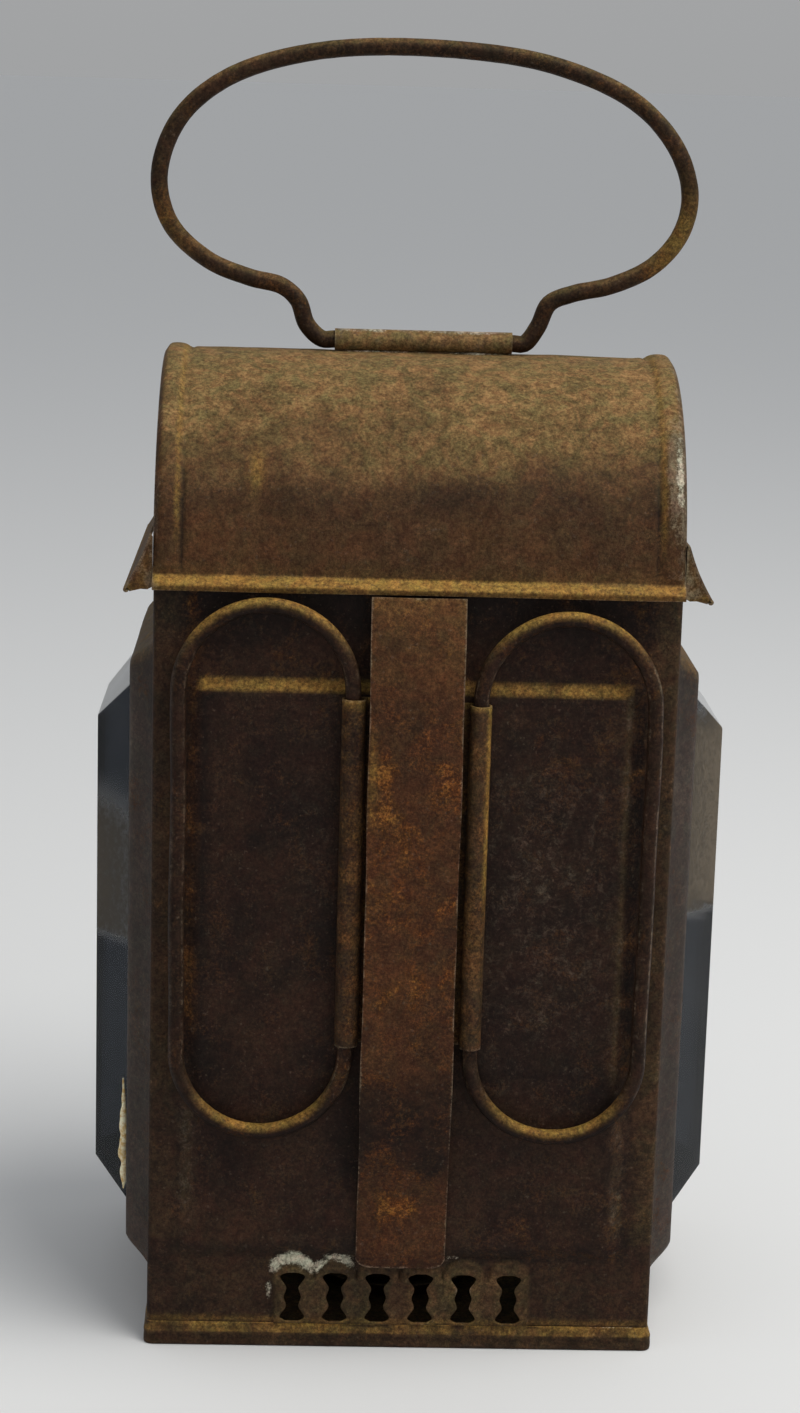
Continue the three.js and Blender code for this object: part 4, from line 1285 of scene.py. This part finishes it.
def bail():
    lo, hi = box_mm("bail_sleeve")
    z = (lo[2] + hi[2]) / 2
    into = [(WIRE_GAP, z), (hi[0] * 0.5, z), (hi[0], z)]
    back = [(lo[0], z), (lo[0] * 0.5, z), (-WIRE_GAP, z)]
    path = curve_through([(x, 0, height) for x, height in (*into, *BAIL_BEND, *back)], 0.7)
    free = smooth(path[:, 2], z + 4, z + 16)
    path[:, 1] += 0.35 * free * waves(path, 55, 83)
    path[:, 0] += 0.15 * free * waves(path, 24, 84)
    radii = BAIL_RADIUS * (1 - dents(path, 0.02, 6, 85) - dents(path, 0.01, 2.5, 86))
    shape = tube(path, radii)
    piece("bail_wire", shape, "wire", "bail", "bail", paint_bail, crease=60)


def paint_grip(skin):
    z = skin.z
    low, high = GRIPS["left"]["low"], GRIPS["left"]["high"]
    arcs = smooth(z, high + 6, high + 14) + smooth(z, low - 6, low - 13)
    rear = smooth(-skin.ny, 0.1, 0.5)
    edges = hump(np.abs(skin.nx), 0.8, 0.18) * rear * (1 - 0.7 * np.clip(arcs, 0, 1))
    edges = edges * (1 + 0.5 * (skin.nx > 0) * (skin.x > 30))
    # Gold painted highlights on the upward faces of the bends, pale painted highlights and glints
    # along the wire's sides, brighter on the right grip's outer leg, painted shade underneath and
    # painted top light.
    skin.ochre += 0.8 * arcs * smooth(skin.nz, -0.1, 0.8)
    skin.bloom_and_highlight = 1.3 * edges
    skin.soot_and_shade = 0.8 * smooth(-skin.nz, 0.0, 0.6)
    skin.wear_and_glint = 0.55 * edges
    skin.rust += 0.1 + 0.25 * skin.patches(14, 87, 0.3, 1.2)
    skin.dust_and_light = 0.5 * smooth(skin.nz, -0.1, 0.9)


def grip(name):
    """A stadium loop of wire whose two ends nearly meet inside the rolled sleeve."""
    x, side, low, high = (GRIPS[name][k] for k in ("x", "side", "low", "high"))
    bend, centre_z = GRIP["bend"], (low + high) / 2
    middle, far = x + side * bend, x + side * 2 * bend
    flat = np.concatenate([
        stacked(x, np.linspace(centre_z + WIRE_GAP, high, 50)[:-1]),
        arc((0, high), bend, 180, 0, 5) * (side, 1) + (middle, 0),
        stacked(far, np.linspace(high, low, 90)[1:-1]),
        arc((0, low), bend, 0, -180, 5) * (side, 1) + (middle, 0),
        stacked(x, np.linspace(low, centre_z - WIRE_GAP, 50)[1:]),
    ])
    path = stacked(flat[:, 0], GRIP["y"], flat[:, 1])
    free = smooth(np.abs(path[:, 0] - x), 2, 12)
    path[:, 1] += 0.16 * free * waves(path, 40, 89 + side)
    path[:, 0] += 0.22 * free * waves(path, 34, 92 + side)
    shape = tube(path, GRIP["radius"] * (1 - dents(path, 0.02, 6, 95)))
    node = f"{name}_grip"
    piece(node + "_wire", shape, "wire", node, node, paint_grip, crease=60)


def paint_hinge_plate(skin):
    x, z = skin.x, skin.z
    # Gold painted highlights along the top and the right roll's edge, and a pale painted highlight on
    # the left roll's edge.
    skin.ochre += 0.8 * smooth(z, 129.2, 130.2) + 0.75 * hump(x, 13.7, 0.45) * smooth(z, 84, 100)
    skin.dust_and_light += 0.14 + 0.2 * (x > 0)
    skin.rust += 0.7
    skin.bloom_and_highlight += 0.5 * hump(x, -13.6, 0.4)


def grip_hinge_plate():
    """A flat sheet whose two edges roll round the straight sides of the grips."""
    mid = GRIP_ROLL["mid"]
    left, right = GRIPS["left"]["x"], GRIPS["right"]["x"]
    left_roll = arc((left, GRIP["y"]), mid, 405, 90, 12)
    right_roll = arc((right, GRIP["y"]), mid, 90, -225, 12)
    left_roll[:, 0] += 0.45 * smooth(left_roll[:, 0], left - 0.5, left + 1.5)
    across = [t for t in np.linspace(left, right, 14) if left + 2.4 < t < right - 2.4]
    between = [(t, GRIP["y"] + mid) for t in across]
    midline = np.concatenate([left_roll, between, right_roll])[::-1]
    share = smooth(midline[:, 0], left, right)
    low, high = GRIP_ROLL["low"] - 0.2 * share, GRIP_ROLL["high"] - 0.8 * share
    shape = rolled(midline, GRIP_ROLL["sheet"], low, high, "z", 1.2)
    piece("grip_hinge_sheet", shape, "case", "grip_hinge_plate", paint=paint_hinge_plate)


def paint_strap(skin):
    x, z = skin.x, skin.z
    dark = spot(x, z, (5, 40), (2.6, 2.8))
    # Lighter towards the top, where the strap bows out under the lip, as a painted highlight, and a
    # pale streak near its left edge.
    skin.ochre += 0.1 * smooth(z, 143, 150) + 0.05 * smooth(z, 128, 146)
    skin.ochre += 0.4 * spot(x, z, (-8.0, 117), (0.9, 7))
    skin.rust += 0.55 * hump(z, 98, 34) * (0.7 + 0.3 * skin.waves(16, 101))
    skin.rust += 0.75 * spot(x, z, (-1.5, 30), (5, 5.5)) + 0.55 * spot(x, z, (-1, 76), (4, 5))
    skin.rust += 0.4 * spot(x, z, (-6, 118), (2.5, 9))
    skin.rust *= 1 - 0.8 * np.clip(dark + 0.7 * hump(z, 50, 9), 0, 1)
    skin.rust -= 0.3 * dark
    skin.soot_and_shade += 1.2 * dark + 0.9 * hump(z, 48, 11) + 0.7 * hump(z, 16.5, 4.5)
    # A painted highlight along both edges near the top.
    skin.wear_and_glint += 0.5 * hump(np.abs(x), 8.75, 0.3) * smooth(z, 128, 140)
    skin.dust_and_light *= 0.4


def belt_strap():
    half = box_mm("belt_strap")[1][0]
    profile = curve_through(STRAP_FACE, 0.75)
    gx = lines(-half, half, 0.75)[:, None]
    grid = stacked(gx, *profile.T)
    edge = (np.abs(gx) / half) ** 6
    wobble = 0.16 * waves(grid * (0.01, 0, 1), 20, 102) * np.sign(gx) * edge
    grid[..., 0] += wobble - np.sign(gx) * 0.16 * edge
    grid[..., 1] -= STRAP_SHEET - 0.2 * (gx / half) ** 2 - dents(grid, 0.14, 24, 103)
    past = np.clip(np.abs(gx) - (half - STRAP_CORNER), 0, STRAP_CORNER)
    foot = smooth(grid[..., 2], 21.5, 17.3)
    grid[..., 2] += (STRAP_CORNER - np.sqrt(STRAP_CORNER**2 - 0.97 * past**2)) * 0.62 * foot
    shape = shell(grid, STRAP_SHEET)
    piece("belt_strap_sheet", shape, "strap", "belt_strap", paint=paint_strap)


# Door hardware.


def knuckle(name, body, side):
    """A leaf, lying to that side of the hinge, rolled into a barrel round its pin."""
    lo, hi = box_mm(name)
    x, y = HINGE["x"], HINGE["y"]
    leaf_y, turn_y, flat, end = DOOR_LEAF if side < 0 else CASE_LEAF
    edge = lo[0] if side < 0 else hi[0]
    leaf = [(edge - side * gap, leaf_y) for gap in (0.05, flat)] + [(x + side * 1.4, turn_y)]
    line = np.concatenate([leaf, arc((x, y), HINGE["mid"], -90, end, 14)])
    shape = rolled(line[::-1], SHEET, lo[2], hi[2], "z", 1.5)
    piece(name + "_roll", shape, "case", name, body)


def hinge_pin():
    lo, hi = box_mm("door_hinge_pin")
    head = (hi[0] - lo[0]) / 2
    low, top = lo[2], hi[2]
    shank = 0.9
    profile = (
        (0, low), (shank * 0.75, low + 0.02), (shank, low + 0.2), (shank, top - 1.15),
        (head * 0.96, top - 1.1), (head, top - 0.85), (head, top - 0.6),
        (head * 0.85, top - 0.25), (head * 0.5, top - 0.05), (0, top),
    )
    shape = lathe(profile, 28, (HINGE["x"], HINGE["y"]))
    piece("door_hinge_pin_turned", shape, "wire", "door_hinge_pin")


def door_pull():
    lo, hi = box_mm("door_pull")
    heights = (
        (0, 0), (1.9, 0.02), (2.0, 0.2), (1.95, 0.42), (1.4, 0.7), (1.05, 1.2), (1.0, 2.0),
        (1.15, 2.6), (1.75, 3.1), (2.15, 3.6), (2.2, 4.1), (2.1, 4.6), (1.6, 5.05), (0.9, 5.3),
        (0, 5.4),
    )
    middle = (lo[0] + hi[0]) / 2, (lo[2] + hi[2]) / 2
    shape = lathe([(r, lo[1] + h) for r, h in heights], 32, middle, "y")
    piece("door_pull_knob", shape, "wire", "door_pull", "door")


def latch():
    """The turn button, and the rivet that it turns on."""
    lo, hi = box_mm("turn_button")
    half = (hi[0] - lo[0]) / 2
    x, z = (lo[0] + hi[0]) / 2, hi[2] - half
    waist = [(x - half * 0.82, z - 2.2), (x - half * 0.78, z - 3.4)]
    other = [(2 * x - u, v) for u, v in waist[::-1]]
    foot = arc((x, lo[2] + half * 0.85), half * 0.85, 180, 360)
    outline = np.concatenate([arc((x, z), half, 0, 180, 9), waist, foot, other])
    shape = plate(outline, lo[1], hi[1], "y")
    hole = plate(arc((x, z), RIVET_HOLE, 0, 350, 14), lo[1] - 1, hi[1] + 1, "y")
    button = "turn_button"
    piece(button + "_tab", shape, "case", button, button, cut=hole, rounding=0.18)

    foot_y = box_mm("latch_rivet")[0][1]
    heights = (
        (0, 0), (1.65, 0.02), (1.7, 0.15), (1.7, 0.95), (1.6, 1.08), (0.9, 1.1), (0.9, 2.2),
        (1.7, 2.22), (1.8, 2.35), (1.75, 2.6), (1.4, 2.95), (0.8, 3.15), (0, 3.2),
    )
    shape = lathe([(r, foot_y + h) for r, h in heights], 28, (x, z), "y")
    piece("latch_rivet_turned", shape, "wire", "latch_rivet")


# Candle.

# Runs of wax, as (direction and half width in radians, length).
WAX_RUNS = ((-1.9, 0.16, 26), (0.4, 0.12, 17), (1.5, 0.2, 34), (2.9, 0.13, 12))

def drip_tray():
    lo, hi = box_mm("drip_tray")
    low, high, rim = lo[2], hi[2], hi[0]
    profile = (
        (0, low), (15.2, low), (16.0, low + 0.15), (17.4, low + 1.9), (rim - 0.5, high - 0.6),
        (rim - 0.1, high - 0.35), (rim, high - 0.15), (rim - 0.15, high), (rim - 0.5, high - 0.02),
        (rim - 0.9, high - 0.4), (16.6, low + 1.6), (15.4, low + 0.75), (13.5, low + 0.62),
        (0, low + 0.62),
    )
    piece("drip_tray_dish", lathe(profile, 72), "case", "drip_tray")


def candle_socket():
    lo, hi = box_mm("candle_socket")
    low, high = lo[2], hi[2]
    bore, radius = 10.3, 10.9
    profile = (
        (0, low), (radius - 0.2, low), (radius, low + 0.2), (radius, 6.0), (radius + 0.3, 6.6),
        (radius + 0.3, 7.4), (radius, 8.0), (radius, high - 2.4), (radius + 0.25, high - 1.3),
        (radius + 0.9, high - 0.2), (radius + 0.75, high), (bore + 0.85, high - 0.1),
        (bore + 0.2, high - 1.4), (bore, high - 2.4), (bore, low + SHEET), (0, low + SHEET),
    )
    piece("candle_socket_cup", lathe(profile, 72), "case", "candle_socket")


def paint_candle(skin):
    x, y, z = skin.points.T
    skin.soot_and_shade = 0.7 * hump(np.hypot(x, y), 0, 2.2) * smooth(z, 60, 66)
    skin.soot_and_shade += 0.25 * smooth(z, 26, 20)


def candle():
    """A candle with a melted top and runs of wax down its side."""
    lo, hi = box_mm("candle")
    radius, low, high = hi[0], lo[2], hi[2]
    side = [(radius - 0.12, z) for z in np.linspace(low + 0.6, high - 2.4, 60)]
    profile = (
        (0, low), (radius - 0.7, low), *side, (radius - 0.3, high - 1.1),
        (radius - 0.9, high - 0.3), (radius - 1.6, high - 0.15), (radius - 2.6, high - 0.9),
        (4.5, high - 1.9), (2.0, high - 2.5), (0, high - 2.7),
    )
    points, faces = lathe(profile, 96)
    z = points[:, 2]
    around = np.arctan2(points[:, 1], points[:, 0])
    run = np.zeros(len(points))
    for centre, wide, length in WAX_RUNS:
        off = np.angle(np.exp(1j * (around - centre)))
        reach = smooth(z, high - length, high - length + 5) * smooth(z, high - 0.4, high - 3)
        run += 0.75 * hump(off, 0, wide) * reach
    outer = np.hypot(points[:, 0], points[:, 1])
    onside = smooth(outer, radius - 1.6, radius - 0.4) * smooth(z, 24, 28)
    swell = (run * 0.66 - 0.5 + 0.06 * waves(points, 9, 111)) * onside
    points[:, :2] *= (1 + swell / np.maximum(outer, 1))[:, None]
    piece("candle_wax", (points, faces), "wax", "candle", "candle", paint_candle, crease=60)


def wick():
    lo, hi = box_mm("wick")
    low, high = lo[2], hi[2]
    bend = ((0, low), (0, low + 3), (0.05, low + 6), (0.7, high - 3.3), (hi[0] - 0.7, high - 0.7))
    path = curve_through([(x, 0, z) for x, z in bend], 0.25)
    radii = 0.55 * (1 + 0.08 * np.sin(path[:, 2] * 5.0) + 0.05 * waves(path, 1.2, 112))
    piece("wick_cord", tube(path, radii, 14), "cotton", "wick", "candle", crease=60)


def glass_putty():
    """Old putty left along the lower rear edge of the left glass."""
    low, high = 26.5, 49.5
    x = box_mm("left_window_frame")[0][0] - 0.8
    y = SIDE_GLAZING.splay + FRAME_RIM - SIDE_GLAZING.foot[0] - 0.5
    z = np.linspace(low, high, 90)
    path = stacked(x, y, z)
    path[:, :2] += 0.2 * stacked(waves(path, 5, 121), waves(path, 4, 122))
    taper = smooth(z, low, 30) * smooth(z, high, 39)
    radii = np.maximum((0.16 + 0.7 * taper) * (1 + 0.3 * waves(path, 3, 123)), 0.1)
    piece("left_glass_putty", tube(path, radii, 10), "putty", crease=70)


# Scene.


def add_camera():
    camera = add_object("camera", bpy.data.cameras.new("camera"))
    place = Matrix.Translation(CAMERA_PLACE)
    for degrees, axis in ((-CAMERA_YAW, "Z"), (90 - CAMERA_PITCH, "X"), (CAMERA_ROLL, "Z")):
        place = place @ Matrix.Rotation(math.radians(degrees), 4, axis)
    camera.matrix_world = place
    camera.data.lens = CAMERA_LENS
    camera.data.sensor_width = 36
    camera.data.clip_start = 0.01
    camera.data.clip_end = 100
    bpy.context.scene.camera = camera


def add_light(name, place, target, size, power, colour):
    lamp = add_object(name, bpy.data.lights.new(name, "AREA"))
    lamp.data.shape = "DISK"
    lamp.data.size = size
    lamp.data.energy = power
    lamp.data.color = colour
    lamp.location = place
    lamp.rotation_euler = (Vector(target) - Vector(place)).to_track_quat("-Z", "Y").to_euler()


def add_studio():
    """An even sky, soft light from above, a weak fill from the photo's right, and a pale floor."""
    world = bpy.data.worlds.new("studio")
    bpy.context.scene.world = world
    world.use_nodes = True
    sky = Nodes(world.node_tree)
    ways = sky.add("TexCoord", output="Generated")
    height = sky.add("SeparateXYZ", {0: ways}, "Z")
    height = sky.add("MapRange", {0: height, 1: 0.0, 2: 0.8})
    sky.put(sky.tree.nodes["Background"], "Color", sky.mix(height, HORIZON, ZENITH))
    add_light("overhead", (0.45, -0.28, 1.05), (0, 0, 0.15), 0.8, 9.5, (1.0, 0.96, 0.90))
    add_light("fill", (1.8, -2.2, 1.1), (0, 0, 0.1), 1.6, 5.8, (1.0, 0.97, 0.93))

    turns = [2 * math.pi * i / FLOOR_SIDES for i in range(FLOOR_SIDES)]
    rim = [(FLOOR_RADIUS * math.cos(a), FLOOR_RADIUS * math.sin(a), 0) for a in turns]
    mesh = bpy.data.meshes.new("floor")
    mesh.from_pydata(rim, [], [tuple(range(FLOOR_SIDES))])
    pale = bpy.data.materials.new("pale_floor")
    pale.use_nodes = True
    shader = pale.node_tree.nodes["Principled BSDF"]
    shader.inputs["Base Color"].default_value = (0.74, 0.76, 0.78, 1)
    shader.inputs["Roughness"].default_value = 0.9
    mesh.materials.append(pale)
    add_object("floor", mesh)
    bpy.context.scene.view_settings.view_transform = "Standard"


def build():
    for make in (
        base_pan, rear_wall, front_frame, hood_shell, bail_sleeve, ridge_solder, grip_hinge_plate,
        belt_strap, bail,
    ):
        make()
    for name, side in (("left", -1), ("right", 1)):
        side_wall(name, side)
        hood_end(name, side)
        eave(name, side)
        side_window(name, side)
        grip(name)
    glass_putty()
    door()
    knuckle("lower_case_knuckle", "case", 1)
    knuckle("upper_case_knuckle", "case", 1)
    knuckle("door_knuckle", "door", -1)
    for make in (hinge_pin, door_pull, latch, drip_tray, candle_socket, candle, wick):
        make()


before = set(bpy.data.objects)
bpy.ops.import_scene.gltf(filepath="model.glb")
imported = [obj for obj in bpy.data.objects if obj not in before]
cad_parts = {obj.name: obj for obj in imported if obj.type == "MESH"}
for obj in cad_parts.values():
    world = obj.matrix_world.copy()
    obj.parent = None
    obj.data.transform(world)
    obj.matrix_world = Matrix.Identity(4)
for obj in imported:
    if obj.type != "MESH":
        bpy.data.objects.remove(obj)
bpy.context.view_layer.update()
add_camera()
add_studio()
make_looks()
build()
